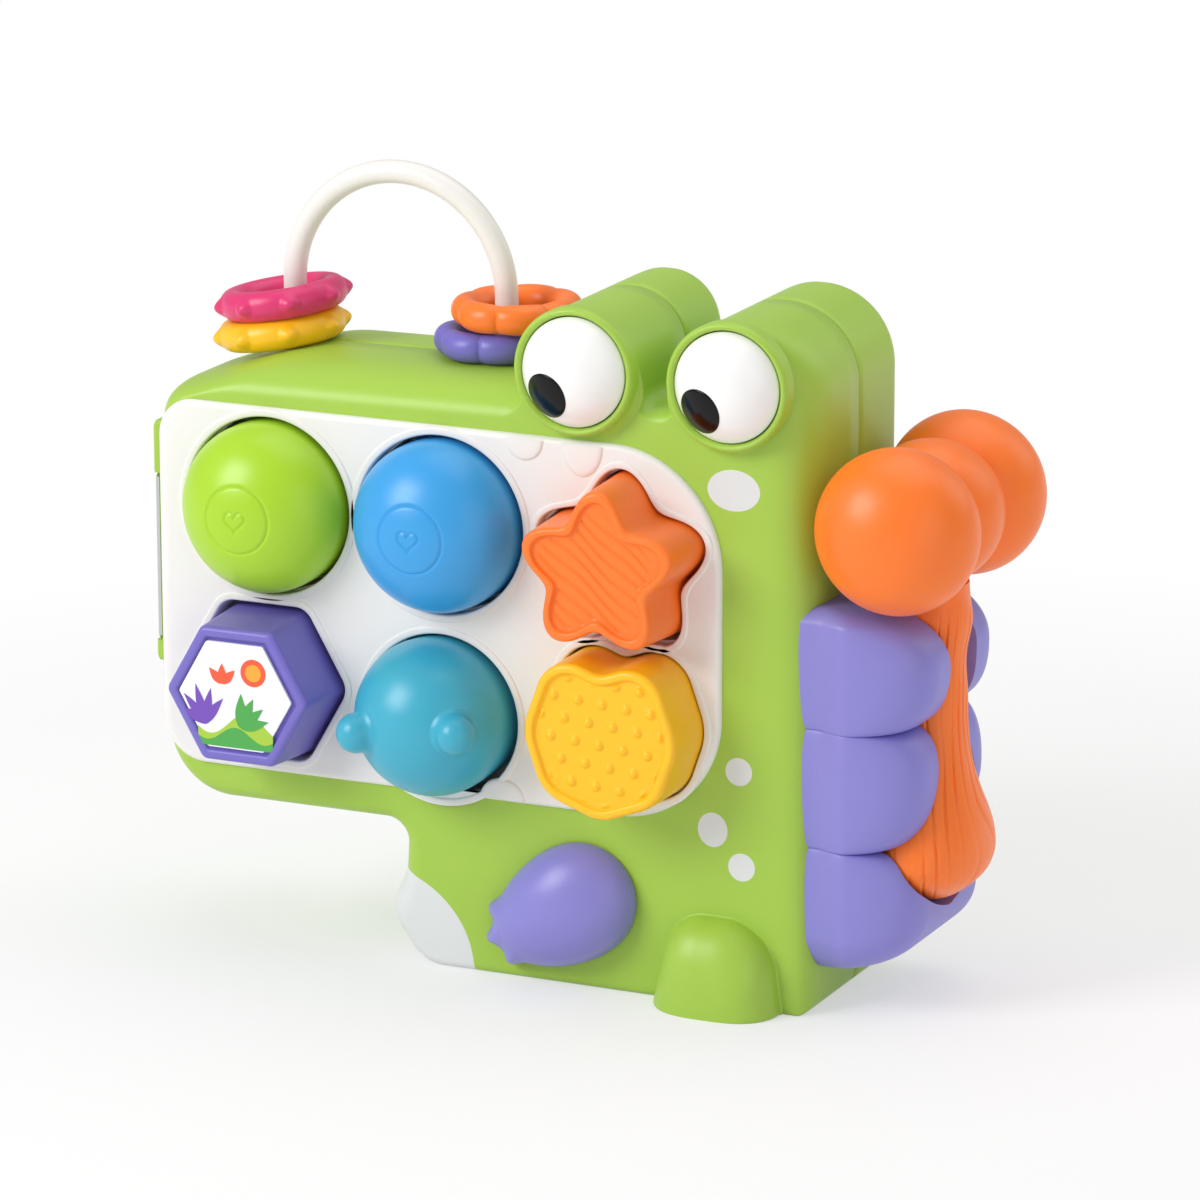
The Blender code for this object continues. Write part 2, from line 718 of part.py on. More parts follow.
def make_front_shell():
    """The front half: eye sockets, foot and screw bosses added, plate opening and bores cut."""
    shell = place("front_shell", half_shell("front_shell", FRONT_Y, SEAM_Y), "green")
    rim_y = FRONT_Y - EYE_RIM_PROUD
    floor_y = rim_y + EYE_SOCKET_DEPTH
    adds = [foot_mesh()]
    opening = plate_outline(-PLATE_CLEARANCE)
    cuts = [prism("plate_opening", opening, PLATE_Y - OVERRUN, WALL_BACK_Y + PLATE_CLEARANCE)]
    bore_r = STEM_R + STEM_GAP
    for x in (LEFT_EYE_X, RIGHT_EYE_X):
        soft = EYE_TUBE_R - SMALLEST_ROUND
        cup_r = EYE_TUBE_R - EYE_CUP_STEP
        rim = [(rim_y, soft), (rim_y + SMALLEST_ROUND, EYE_TUBE_R), (FRONT_Y, EYE_TUBE_R),
               (FRONT_Y + TUBE_FRONT_RUN, cup_r), (floor_y + EYE_FLOOR, cup_r)]
        adds.append(turned("eye_rim", rim, EYE_STEPS, x, EYE_Z))
        bore = [(rim_y - OVERRUN, EYE_SOCKET_R), (floor_y, EYE_SOCKET_R), (floor_y, bore_r),
                (floor_y + EYE_FLOOR + OVERRUN, bore_r)]
        cuts.append(turned("eye_bore", bore, EYE_STEPS, x, EYE_Z))
    for spot in BOSS_PLACES:
        adds.append(post("boss", spot, WALL_BACK_Y - BODY_WALL / 2, SEAM_Y, BOSS_R))
        pilot_y = SCREW_SEAT_Y - SCREW_SHANK_L - OVERRUN
        cuts.append(post("pilot", spot, pilot_y, SEAM_Y + OVERRUN, SCREW_SHANK_R + FIT_GAP))
    paw_spot = (PAW_X, PAW_Z)
    cuts.append(post("paw_bore", paw_spot, FRONT_Y - OVERRUN, WALL_BACK_Y + OVERRUN, bore_r, SIDES))
    cuts.append(arch_bores())
    boolean(shell, tool("front_additions", combined("front_additions", adds)), "UNION")
    boolean(shell, tool("front_cuts", combined("front_cuts", cuts)), "DIFFERENCE")
    return shell


def arch_bores():
    """The two upright bores that both halves share at the seam."""
    meshes = []
    radius = ARCH_ROD_R + ARCH_HOLE_GAP
    for x in (ARCH_X - ARCH_R, ARCH_X + ARCH_R):
        outline = circle(radius, SIDES, x, SEAM_Y)
        meshes.append(loft("arch_bore", [at_z(outline, ARCH_FOOT_Z), at_z(outline, ARCH_Z)]))
    return combined("arch_bores", meshes)


def make_rear_shell():
    """The rear half: screw posts added, counterbores and the arch's half bores cut."""
    start_y = SEAM_Y + FIT_GAP
    shell = place("rear_shell", half_shell("rear_shell", REAR_Y, start_y), "green")
    adds = []
    cuts = [arch_bores()]
    for spot in BOSS_PLACES + TRAY_POST_PLACES:
        x, z = spot
        adds.append(post("screw_post", spot, start_y, REAR_Y - BODY_WALL / 2, POST_R))
        bore_r = SCREW_SHANK_R + POST_BORE_GAP
        head_r = SCREW_HEAD_R + POST_BORE_GAP
        bore = [(start_y - OVERRUN, bore_r), (SCREW_SEAT_Y, bore_r), (SCREW_SEAT_Y, head_r),
                (REAR_Y + OVERRUN, head_r)]
        cuts.append(turned("counterbore", bore, POST_STEPS, x, z))
    boolean(shell, tool("rear_additions", combined("rear_additions", adds)), "UNION")
    boolean(shell, tool("rear_cuts", combined("rear_cuts", cuts)), "DIFFERENCE")
    return shell


def make_face_plate():
    """The mouth plate with a soft front edge and the six holes."""
    sections = [
        at_y(plate_outline(), WALL_BACK_Y),
        at_y(plate_outline(0.0, PLATE_END_EDGE * END_EDGE_SHARES[0]), PLATE_Y + PLATE_EDGE),
        at_y(
            plate_outline(PLATE_EDGE * SOFT_EDGE_SHARE, PLATE_END_EDGE * END_EDGE_SHARES[1]),
            PLATE_Y + PLATE_EDGE * SOFT_EDGE_SHARE,
        ),
        at_y(plate_outline(PLATE_EDGE, PLATE_END_EDGE * END_EDGE_SHARES[2]), PLATE_Y),
    ]
    plate = place("face_plate", loft("face_plate", sections), "white")
    cuts = []
    for key, shape in HOLES.items():
        cuts.append(prism(key + "_hole", shape(0.0), PLATE_Y - OVERRUN, WALL_BACK_Y + OVERRUN))
    boolean(plate, tool("plate_cuts", combined("plate_cuts", cuts)), "DIFFERENCE")
    return plate


def make_pocket_tray():
    """The tray behind the plate: a lapped flange with six blind cups and two screw posts."""
    flange_back = TRAY_Y + TRAY_T
    flange = prism("pocket_tray", tray_outline(), TRAY_Y, flange_back)
    tray = place("pocket_tray", flange, "white")
    cups = []
    pockets = []
    for key, shape in HOLES.items():
        cup_start = TRAY_Y + TRAY_T / 2
        cups.append(prism(key + "_cup", shape(-POCKET_WALL), cup_start, POCKET_Y + POCKET_FLOOR))
        pockets.append(prism(key + "_pocket", shape(0.0), TRAY_Y - OVERRUN, POCKET_Y))
    for spot in TRAY_POST_PLACES:
        cups.append(post("tray_post", spot, TRAY_Y + TRAY_T / 2, SEAM_Y, BOSS_R))
        pilot_y = SCREW_SEAT_Y - SCREW_SHANK_L - OVERRUN
        pockets.append(post("tray_pilot", spot, pilot_y, SEAM_Y + OVERRUN, SCREW_SHANK_R + FIT_GAP))
    boolean(tray, tool("tray_cups", combined("tray_cups", cups)), "UNION")
    boolean(tray, tool("tray_pockets", combined("tray_pockets", pockets)), "DIFFERENCE")
    return tray


def tray_outline():
    """The flange laps behind the housing's wall, but stays inside the snout's end."""
    left, right = PLATE_LEFT + TRAY_LEFT_IN, PLATE_RIGHT + TRAY_LAP
    low, high = PLATE_BOTTOM - TRAY_LAP, PLATE_TOP - TRAY_TOP_IN
    corners = [
        (left, low, TRAY_JAW_ROUND, 3),
        (right, low, PLATE_FRONT_ROUND, 5),
        (right, high, PLATE_FRONT_ROUND, 5),
        (left, high, TRAY_CROWN_ROUND, 3),
    ]
    return rounded(corners, [0.0] * len(corners))


def block_shape(key):
    """A hole's outline, smaller by the play around the block."""
    hole = HOLES[key]
    return lambda inset: hole(BLOCK_PLAY + inset)


def block_core(shape, centre, front_y):
    """The sections of a block's hollow, from its inner front face to the vent in its back."""
    x, z = centre
    count = len(shape(0.0))
    inner_back = BLOCK_BACK_Y - BLOCK_WALL
    vent = circle(BLOCK_VENT_R, count, x, z)
    turns = [math.atan2(b - z, a - x) % (2 * math.pi) for a, b in shape(0.0)]
    first = turns.index(min(turns))
    vent = [vent[(i - first) % count] for i in range(count)]
    return [
        at_y(shape(BLOCK_WALL + BLOCK_DRAFT), front_y),
        at_y(shape(BLOCK_WALL), inner_back),
        at_y(vent, inner_back),
        at_y(vent, BLOCK_BACK_Y),
    ]


def flat_block(name, key, finish):
    """A block with a raised rim round a sunk face."""
    shape = block_shape(key)
    floor_y = BLOCK_FRONT_Y + BLOCK_RECESS
    soft = BLOCK_EDGE * SOFT_EDGE_SHARE
    sections = block_core(shape, HOLE_CENTRES[key], floor_y + BLOCK_WALL)
    sections += [
        at_y(shape(BLOCK_EDGE), BLOCK_BACK_Y),
        at_y(shape(0.0), BLOCK_BACK_Y - BLOCK_EDGE),
        at_y(shape(BLOCK_DRAFT), BLOCK_FRONT_Y + BLOCK_EDGE),
        at_y(shape(BLOCK_DRAFT + soft), BLOCK_FRONT_Y + soft),
        at_y(shape(BLOCK_DRAFT + BLOCK_EDGE), BLOCK_FRONT_Y),
        at_y(shape(BLOCK_RIM), BLOCK_FRONT_Y),
        at_y(shape(BLOCK_RIM + BLOCK_RECESS / 2), floor_y),
    ]
    return place(name, loft(name, sections), finish)


def dome_block(name, key, radius, finish, dome_h, out, knobs=()):
    """A round block that ends in a dome, with a hollow that follows it."""
    x, z = HOLE_CENTRES[key]
    block_r = radius - BLOCK_PLAY
    base_y = PLATE_Y - out + dome_h
    inner_h = dome_h - BLOCK_WALL
    inner = dome_sections(circle(block_r - BLOCK_WALL, ROUND_STEPS, x, z), (x, z), base_y, inner_h, 2)[::-1]
    inner_back = BLOCK_BACK_Y - BLOCK_WALL
    sections = inner + [
        at_y(circle(block_r - BLOCK_WALL, ROUND_STEPS, x, z), inner_back),
        at_y(circle(BLOCK_VENT_R, ROUND_STEPS, x, z), inner_back),
        at_y(circle(BLOCK_VENT_R, ROUND_STEPS, x, z), BLOCK_BACK_Y),
        at_y(circle(block_r - BLOCK_EDGE, ROUND_STEPS, x, z), BLOCK_BACK_Y),
        at_y(circle(block_r, ROUND_STEPS, x, z), BLOCK_BACK_Y - BLOCK_EDGE),
    ]
    sections += dome_sections(circle(block_r, ROUND_STEPS, x, z), (x, z), base_y, dome_h, 4)
    block = place(name, loft(name, sections), finish)
    if knobs:
        meshes = []
        for x_share, z_share in knobs:
            sink = dome_h * math.sqrt(1 - x_share ** 2 - z_share ** 2)
            centre_y = base_y - sink - KNOB_OUT
            profile = [(centre_y + KNOB_R * KNOB_ROOT_SHARE, KNOB_R * KNOB_NECK_SHARE), (centre_y, KNOB_R)]
            for k in range(1, 4):
                angle = math.pi / 2 * k / 3
                profile.append((centre_y - KNOB_R * math.sin(angle), max(KNOB_R * math.cos(angle), POLE)))
            meshes.append(turned("knob", profile, KNOB_SIDES, x + block_r * x_share, z + block_r * z_share))
        boolean(block, tool(name + "_knobs", combined(name + "_knobs", meshes)), "UNION")
    return block


def make_blocks():
    """The six blocks and the hexagon's picture disc."""
    dome_block("green_dome_block", "green", DOME_HOLE_R, "lime", DOME_HOLE_R * DOME_SHARE, DOME_OUT)
    dome_block("blue_dome_block", "blue", DOME_HOLE_R, "blue", DOME_HOLE_R * DOME_SHARE, DOME_OUT)
    flat_block("star_block", "star", "orange")
    flat_block("hexagon_block", "hexagon", "violet")
    ball_h = BALL_HOLE_R * BALL_DOME_SHARE
    dome_block("ball_block", "ball", BALL_HOLE_R, "teal", ball_h, BALL_OUT, KNOB_PLACE_SHARES)
    flat_block("heart_block", "heart", "yellow")
    inset = BLOCK_PLAY + BLOCK_RIM + BLOCK_RECESS / 2 + PICTURE_GAP
    floor_y = BLOCK_FRONT_Y + BLOCK_RECESS - PICTURE_GAP
    picture = prism("hexagon_picture", HOLES["hexagon"](inset), floor_y, floor_y - PICTURE_T)
    place("hexagon_picture", picture, "white")


def make_eyes():
    """Two rolling eyeballs on stems, each with its pupil and the retainer behind the socket's floor."""
    rim_y = FRONT_Y - EYE_RIM_PROUD
    floor_back = rim_y + EYE_SOCKET_DEPTH + EYE_FLOOR
    base_y = rim_y + EYE_DOME_SINK
    ball_r = EYE_SOCKET_R - EYE_BALL_GAP
    sphere_r = (ball_r ** 2 + EYE_DOME_H ** 2) / (2 * EYE_DOME_H)
    sphere_y = base_y - EYE_DOME_H + sphere_r
    stem_end = floor_back + STEM_SPARE
    for side, x in (("left", LEFT_EYE_X), ("right", RIGHT_EYE_X)):
        profile = []
        for share in EYE_LEVEL_SHARES:
            radius = ball_r * share
            profile.append((sphere_y - math.sqrt(sphere_r ** 2 - radius ** 2), radius))
        profile += [(base_y + EYE_SKIRT, ball_r), (base_y + EYE_SKIRT, STEM_R), (stem_end, STEM_R)]
        pivot = (x, base_y, EYE_Z)
        ball = place(side + "_eyeball", turned("eyeball", profile, EYE_STEPS, x, EYE_Z), "eye_white", pivot)
        px, pz = x + PUPIL_DX, EYE_Z + PUPIL_DZ
        tip_y = base_y - EYE_DOME_H
        seat_y = tip_y + PUPIL_DEPTH
        recess_r = PUPIL_R + FIT_GAP
        recess = turned("recess", [(tip_y - OVERRUN, recess_r), (seat_y, recess_r)], PUPIL_STEPS, px, pz)
        boolean(ball, tool(side + "_pupil_recess", recess), "DIFFERENCE")
        sections = [at_y(circle(PUPIL_R, PUPIL_STEPS, px, pz), seat_y - FIT_GAP)]
        for share in PUPIL_LEVEL_SHARES:
            skin = sphere_r + PUPIL_PROUD
            ring = circle(PUPIL_R * share, PUPIL_STEPS, px, pz)
            sections.append([
                (a, sphere_y - math.sqrt(skin ** 2 - (a - x) ** 2 - (b - EYE_Z) ** 2), b) for a, b in ring
            ])
        place(side + "_pupil", loft("pupil", sections), "black", pivot)
        retainer("_".join((side, "eye_retainer")), x, EYE_Z, floor_back)


def retainer(name, x, z, wall_y):
    """A push-on washer that holds a stem behind its wall."""
    near = wall_y + FIT_GAP
    far = near + RETAINER_T
    bore_r = STEM_R + STEM_GAP
    profile = [(near, RETAINER_R), (far, RETAINER_R), (far, bore_r), (near, bore_r)]
    return place(name, turned(name, profile, SIDES, x, z, ring=True), "white", (x, near, z))


def make_arch():
    """The handle arch: a round rod over a half circle, with two straight legs that end in clamped feet."""
    sections = []
    for radius, z in arch_leg():
        sections.append(at_z(circle(radius, SIDES, ARCH_X - ARCH_R, SEAM_Y), z))
    for k in range(1, ARCH_STEPS):
        angle = math.pi * (1 - k / ARCH_STEPS)
        section = []
        for i in range(SIDES):
            turn = 2 * math.pi * i / SIDES
            reach = ARCH_R - ARCH_ROD_R * math.cos(turn)
            section.append((
                ARCH_X + reach * math.cos(angle),
                SEAM_Y + ARCH_ROD_R * math.sin(turn),
                ARCH_Z + reach * math.sin(angle),
            ))
        sections.append(section)
    for radius, z in arch_leg()[::-1]:
        ring = circle(radius, SIDES, 0.0, SEAM_Y)
        sections.append([(ARCH_X + ARCH_R - x, y, z) for x, y in ring])
    place("arch_handle", loft("arch_handle", sections), "white")


def arch_leg():
    """A leg's (radius, height) steps from its foot up to the arc."""
    foot_top = ARCH_FOOT_Z + ARCH_FOOT_T
    foot = [(ARCH_FOOT_R, ARCH_FOOT_Z), (ARCH_FOOT_R, foot_top)]
    return foot + [(ARCH_ROD_R, foot_top), (ARCH_ROD_R, ARCH_Z)]


def ring_mesh(name, x, z, tilt, swing):
    """A soft ring about an upright axis: its outer side swings with the angle, its bore stays round."""
    cos_t, sin_t = math.cos(tilt), math.sin(tilt)
    sections = []
    for k in range(RING_SIDES):
        turn = 2 * math.pi * k / RING_SIDES
        outward = max(math.cos(turn), 0.0)
        rise = RING_H * math.sin(turn) / math.sin(math.pi / 3)
        section = []
        for i in range(RING_STEPS):
            angle = 2 * math.pi * i / RING_STEPS
            reach = RING_R + RING_TUBE_R * math.cos(turn) + outward * swing(angle)
            along, across = reach * math.cos(angle), reach * math.sin(angle)
            up = z + along * sin_t + rise * cos_t
            section.append((x + along * cos_t - rise * sin_t, SEAM_Y + across, up))
        sections.append(section)
    return loft(name, sections, ring=True)


def nubbed(angle):
    """Small round nubs that stand out of a rim."""
    return RING_NUB_OUT * max(math.cos(RING_NUBS * angle), 0.0) - RING_NUB_OUT * RING_NUB_SHARE


def lobed(angle):
    """Wide lobes with a crease between them."""
    return -RING_LOBE_IN * (1 - abs(math.cos(RING_LOBES * angle / 2)) ** RING_CREASE_POWER)


def make_rings():
    """Two rings on each leg, the lower one lying on the crown and the upper one on the lower one."""
    pivot = (ARCH_X, SEAM_Y, ARCH_Z)
    low_pivot = (ARCH_X, SEAM_Y, ARCH_Z - LEFT_PIVOT_DROP)  # the wide-lying ring keeps clear of the arch
    step = 2 * RING_H + RING_STACK_GAP
    rest = RING_H + RING_STACK_GAP
    tilt = math.radians(LEFT_STACK_TILT_DEG)
    rise = (LEFT_STACK_X - SNOUT_SHOULDER_X) * math.tan(tilt)
    x, z = LEFT_STACK_X, SNOUT_SHOULDER_Z + rest + rise - LEFT_STACK_SINK
    place("yellow_ring", ring_mesh("yellow_ring", x, z, tilt, nubbed), "yellow", low_pivot)
    x += LEFT_STACK_SHIFT * math.cos(tilt) - step * math.sin(tilt)
    z += LEFT_STACK_SHIFT * math.sin(tilt) + step * math.cos(tilt)
    place("magenta_ring", ring_mesh("magenta_ring", x, z, tilt, nubbed), "magenta", pivot)
    brow_x = LEFT_EYE_X - EYE_TUBE_R
    tilt = math.atan((BROW_Z - SNOUT_SHOULDER_Z) / (brow_x - SNOUT_SHOULDER_X))
    x, z = RIGHT_STACK_X, BROW_Z + rest + (RIGHT_STACK_X - brow_x) * math.tan(tilt)
    place("purple_ring", ring_mesh("purple_ring", x, z, tilt, lobed), "purple", pivot)
    x, z = x + RIGHT_STACK_SHIFT, z + step
    place("orange_ring", ring_mesh("orange_ring", x, z, tilt, lobed), "orange", pivot)


def fan_share(z):
    """How much of the fan's extra width the handle has at a height."""
    reach = abs(z - HANDLE_FAN_Z)
    spread = HANDLE_FAN_Z - HANDLE_BOTTOM if z < HANDLE_FAN_Z else HANDLE_FAN_R
    return math.exp(-(reach / spread) ** 2 * HANDLE_FAN_POWER)


def handle_half_depth(z):
    """The hammer handle's half depth along X: the fan stands out a little from the round waist."""
    return HANDLE_R + (HANDLE_FAN_OUT - HANDLE_R) * fan_share(z)


def handle_half_width(z):
    """The hammer handle's half width along Y: a round waist that opens into a fan near its lower end."""
    return HANDLE_R + (HANDLE_FAN_R - HANDLE_R) * fan_share(z)


def handle_levels(top_z):
    """Heights of the handle's sections, closer together at its ends."""
    run = top_z - HANDLE_BOTTOM
    return [HANDLE_BOTTOM + run * (1 - math.cos(math.pi * k / 12)) / 2 for k in range(13)]


def groove_mesh(name, extra=0.0):
    """The room that the handle lies in, open towards +X so that the hammer lifts straight out."""
    grow = GROOVE_GAP + extra
    far_x = BODY_RIGHT + 2 * BUMP_OUT
    sections = []
    for z in [HANDLE_BOTTOM - grow] + handle_levels(BUMP_TOP + OVERRUN):
        half = handle_half_width(z) + grow
        near_x = HAMMER_X - handle_half_depth(z) - grow
        sections.append([(near_x, -half, z), (far_x, -half, z), (far_x, half, z), (near_x, half, z)])
    return loft(name, sections)


def lobe_share(z):
    """How far the bumps stand out at a height: three lobes with shallow valleys, closing at both ends."""
    for low, high, first, last in (
        (BUMP_BOTTOM, BUMP_VALLEY_LOW, True, False),
        (BUMP_VALLEY_LOW, BUMP_VALLEY_HIGH, False, False),
        (BUMP_VALLEY_HIGH, BUMP_TOP, False, True),
    ):
        if z <= high or last:
            middle, half = (low + high) / 2, (high - low) / 2
            place_share = max(-1.0, min(1.0, (z - middle) / half))
            swell = (1 - abs(place_share) ** LOBE_POWER) ** (1 / LOBE_POWER)
            open_end = (first and place_share < 0) or (last and place_share > 0)
            return swell if open_end else BUMP_VALLEY_SHARE + (1 - BUMP_VALLEY_SHARE) * swell


def bump_section(z, inset=0.0):
    """One level of the bumps: a pillow on each side of a middle that is low above the handle's end."""
    share = lobe_share(min(max(z, BUMP_BOTTOM), BUMP_TOP))
    out = max(BUMP_OUT * share - inset, SMALLEST_ROUND)
    half = (BUMP_COLUMN_HALF - inset) * (BUMP_END_SHARE + (1 - BUMP_END_SHARE) * share)
    middle_out = out if z < BUMP_SHELF_Z else min(out, BUMP_MIDDLE_OUT - inset)
    half_points = []
    for k in range(9):
        angle = math.pi * k / 8
        height = out * math.sin(angle) ** PILLOW_POWER if 0 < k < 8 else 0.0
        taper = BUMP_BASE_SHARE + (1 - BUMP_BASE_SHARE) * min(height / BUMP_TAPER, 1.0)
        across = half * math.copysign(abs(math.cos(angle)) ** PILLOW_POWER, math.cos(angle))
        if k < 4:
            across *= taper
        else:
            height = max(height, middle_out)
        half_points.append((BODY_RIGHT + height, -BUMP_COLUMN_Y - across))
    root_y = BUMP_COLUMN_Y + half * BUMP_BASE_SHARE
    points = [(BODY_RIGHT - BUMP_ROOT, -root_y)] + half_points + [(BODY_RIGHT + middle_out, 0.0)]
    points += [(x, -y) for x, y in half_points[::-1]]
    points.append((BODY_RIGHT - BUMP_ROOT, root_y))
    return at_z(points, z)


def bump_levels():
    """Heights of the bump sections, closer together in the valleys and at the ends."""
    levels = []
    stops = (BUMP_BOTTOM, BUMP_VALLEY_LOW, BUMP_VALLEY_HIGH, BUMP_TOP)
    for low, high in zip(stops, stops[1:]):
        levels += [low + (high - low) * (1 - math.cos(math.pi * k / 4)) / 2 for k in range(4)]
    return levels + [BUMP_TOP]


def make_back_bumps():
    """The purple shell on the back: hollow, grooved for the handle and cut to the housing's side."""
    bumps = place("back_bumps", loft("back_bumps", [bump_section(z) for z in bump_levels()]), "purple")
    boolean(bumps, tool("bump_groove", groove_mesh("bump_groove")), "DIFFERENCE")
    low, high = BUMP_BOTTOM + 2 * BUMP_WALL, BUMP_TOP - 2 * BUMP_WALL
    inner_levels = [low] + [z for z in bump_levels()[::2] if low < z < high] + [high]
    hollow = tool("bump_hollow", loft("bump_hollow", [bump_section(z, BUMP_WALL) for z in inner_levels]))
    boolean(hollow, tool("groove_wall", groove_mesh("groove_wall", BUMP_WALL)), "DIFFERENCE")
    boolean(bumps, hollow, "DIFFERENCE")
    depths = half_levels(FRONT_Y - FIT_GAP, 0.0, OUTER_LEVEL_SHARES)[:-1]
    depths += half_levels(REAR_Y + FIT_GAP, 0.0, OUTER_LEVEL_SHARES)[::-1]
    body = tool("body_block", loft("body_block", [body_section(y, -FIT_GAP) for y in depths]))
    boolean(bumps, body, "DIFFERENCE")


def head_profile(inset=0.0):
    """The hammer head's (y, radius) steps: two flattened balls joined by a round middle."""
    profile = []
    reach = HAMMER_BALL_Y + HAMMER_BALL_HALF - inset
    for k in range(-HEAD_LEVELS, HEAD_LEVELS + 1):
        y = reach * math.sin(math.pi / 2 * k / HEAD_LEVELS)
        radius = POLE
        middle_r = HAMMER_WAIST_R - inset
        if abs(y) < middle_r:
            radius = math.sqrt(middle_r ** 2 - y * y)
        for ball_y in (-HAMMER_BALL_Y, HAMMER_BALL_Y):
            share = (y - ball_y) / (HAMMER_BALL_HALF - inset)
            if abs(share) < 1:
                radius = max(radius, (HAMMER_BALL_R - inset) * math.sqrt(1 - share * share))
        profile.append((y, radius))
    return profile


def make_hammer():
    """The hammer: a hollow double-ball head, and a grained handle whose tenon sits in the head."""
    head = turned("hammer_head", head_profile(), HEAD_STEPS, HAMMER_X, HAMMER_Z)
    pivot = (HAMMER_X, 0.0, HAMMER_Z)
    head = place("hammer_head", head, "orange", pivot)
    hollow = turned("head_hollow", head_profile(HAMMER_WALL)[::2], SIDES, HAMMER_X, HAMMER_Z)
    boolean(head, tool("head_hollow", hollow), "DIFFERENCE")
    top_z = HAMMER_Z - HAMMER_WAIST_R
    socket = circle(TENON_R + TENON_GAP, HANDLE_STEPS, HAMMER_X, 0.0)
    socket = loft("head_socket", [at_z(socket, top_z - OVERRUN), at_z(socket, HAMMER_Z - HAMMER_WALL)])
    boolean(head, tool("head_socket", socket), "DIFFERENCE")
    sections = []
    shoulder_z = top_z - FIT_GAP
    for z in handle_levels(shoulder_z):
        close = min((z - HANDLE_BOTTOM) / HANDLE_R, 1.0)
        end = max(math.sqrt(1 - (1 - close) ** 2), POLE / HANDLE_R)
        half_x = handle_half_depth(z) * end
        half_y = handle_half_width(z) * end
        sections.append(at_z(superellipse(half_x, half_y, HANDLE_POWER, HANDLE_STEPS, HAMMER_X, 0.0), z))
    tenon = circle(TENON_R, HANDLE_STEPS, HAMMER_X, 0.0)
    sections += [at_z(tenon, shoulder_z), at_z(tenon, top_z + TENON_L)]
    place("hammer_handle", loft("hammer_handle", sections), "orange", pivot)


def make_paw():
    """The turning paw: an egg dome with three toes, on a stem with its retainer."""
    outline = paw_outline()
    base_y = FRONT_Y - FIT_GAP
    stem_end = WALL_BACK_Y + STEM_SPARE
    stem = circle(STEM_R, len(outline), PAW_X, PAW_Z)
    sections = [at_y(stem, stem_end), at_y(stem, base_y)]
    sections += dome_sections(outline, (PAW_X, PAW_Z), base_y, PAW_H, 5)
    pivot = (PAW_X, base_y, PAW_Z)
    paw = place("paw", loft("paw", sections), "purple", pivot)
    toes = []
    for turn in TOE_TURNS_DEG:
        x, z = paw_point(math.radians(turn))
        profile = [(base_y, TOE_R)]
        for k in range(1, 4):
            angle = math.pi / 2 * k / 3
            profile.append((base_y - TOE_R - TOE_R * math.sin(angle), max(TOE_R * math.cos(angle), POLE)))
        toes.append(turned("toe", profile, KNOB_SIDES, x, z))
    boolean(paw, tool("paw_toes", combined("paw_toes", toes)), "UNION")
    retainer("paw_retainer", PAW_X, PAW_Z, WALL_BACK_Y)


def box_mesh(name, low, high, edge=0.0):
    """A box along the axes, its outer edges at -X softened by an edge."""
    places = ((low[1], low[2]), (high[1], low[2]), (high[1], high[2]), (low[1], high[2]))
    corners = [(y, z, edge, 1) for y, z in places]
    outer = rounded(corners, [0.0] * 4)
    inner = rounded(corners, [edge] * 4)
    sections = [[(high[0], y, z) for y, z in outer], [(low[0] + edge, y, z) for y, z in outer]]
    sections.append([(low[0], y, z) for y, z in inner])
    return loft(name, sections)


def make_mirror():
    """The mirror on the snout's end, held between two rails of its carrier."""
    seat_x = SNOUT_LEFT - FIT_GAP
    face_x = seat_x - MIRROR_FRAME_T
    low_z, high_z = MIRROR_BOTTOM + MIRROR_RAIL_LOW, MIRROR_TOP - MIRROR_RAIL_HIGH
    low, high = (face_x, -MIRROR_Y, MIRROR_BOTTOM), (seat_x, MIRROR_Y, MIRROR_TOP)
    frame = place("mirror_carrier", box_mesh("mirror_carrier", low, high, MIRROR_EDGE), "green")
    gap = box_mesh(
        "mirror_gap",
        (face_x - OVERRUN, -MIRROR_Y - OVERRUN, low_z),
        (seat_x - MIRROR_BACK_T, MIRROR_Y + OVERRUN, high_z),
        MIRROR_EDGE / 2,
    )
    boolean(frame, tool("mirror_gap", gap), "DIFFERENCE")
    plate_x = seat_x - MIRROR_BACK_T - FIT_GAP
    plate = box_mesh(
        "mirror_plate",
        (plate_x - MIRROR_T, -MIRROR_Y + FIT_GAP, low_z + FIT_GAP),
        (plate_x, MIRROR_Y - FIT_GAP, high_z - FIT_GAP),
        MIRROR_EDGE / 2,
    )
    place("mirror_plate", plate, "mirror")


def make_screws():
    """The screws that join the halves, sunk in the rear posts."""
    for number, (x, z) in enumerate(BOSS_PLACES + TRAY_POST_PLACES, start=1):
        seat = SCREW_SEAT_Y + FIT_GAP
        profile = [
            (seat - SCREW_SHANK_L, SCREW_SHANK_R * SCREW_TIP_SHARE),
            (seat - SCREW_SHANK_L + SCREW_SHANK_R, SCREW_SHANK_R),
            (seat, SCREW_SHANK_R),
            (seat, SCREW_HEAD_R),
            (seat + SCREW_HEAD_T / 2, SCREW_HEAD_R),
            (seat + SCREW_HEAD_T, SCREW_HEAD_R * SCREW_TOP_SHARE),
            (seat + SCREW_HEAD_T, SCREW_SLOT_R),
            (seat + SCREW_HEAD_T - SCREW_SLOT_DEPTH, SCREW_SLOT_R / 2),
        ]
        name = "screw_" + str(number)
        place(name, turned(name, profile, POST_STEPS, x, z), "steel", (x, seat, z))


def main():
    """Build the whole toy."""
    clear_scene()
    make_front_shell()
    make_rear_shell()
    make_face_plate()
    make_pocket_tray()
    make_blocks()
    make_eyes()
    make_arch()
    make_rings()
    make_back_bumps()
    make_hammer()
    make_paw()
    make_mirror()
    make_screws()


main()
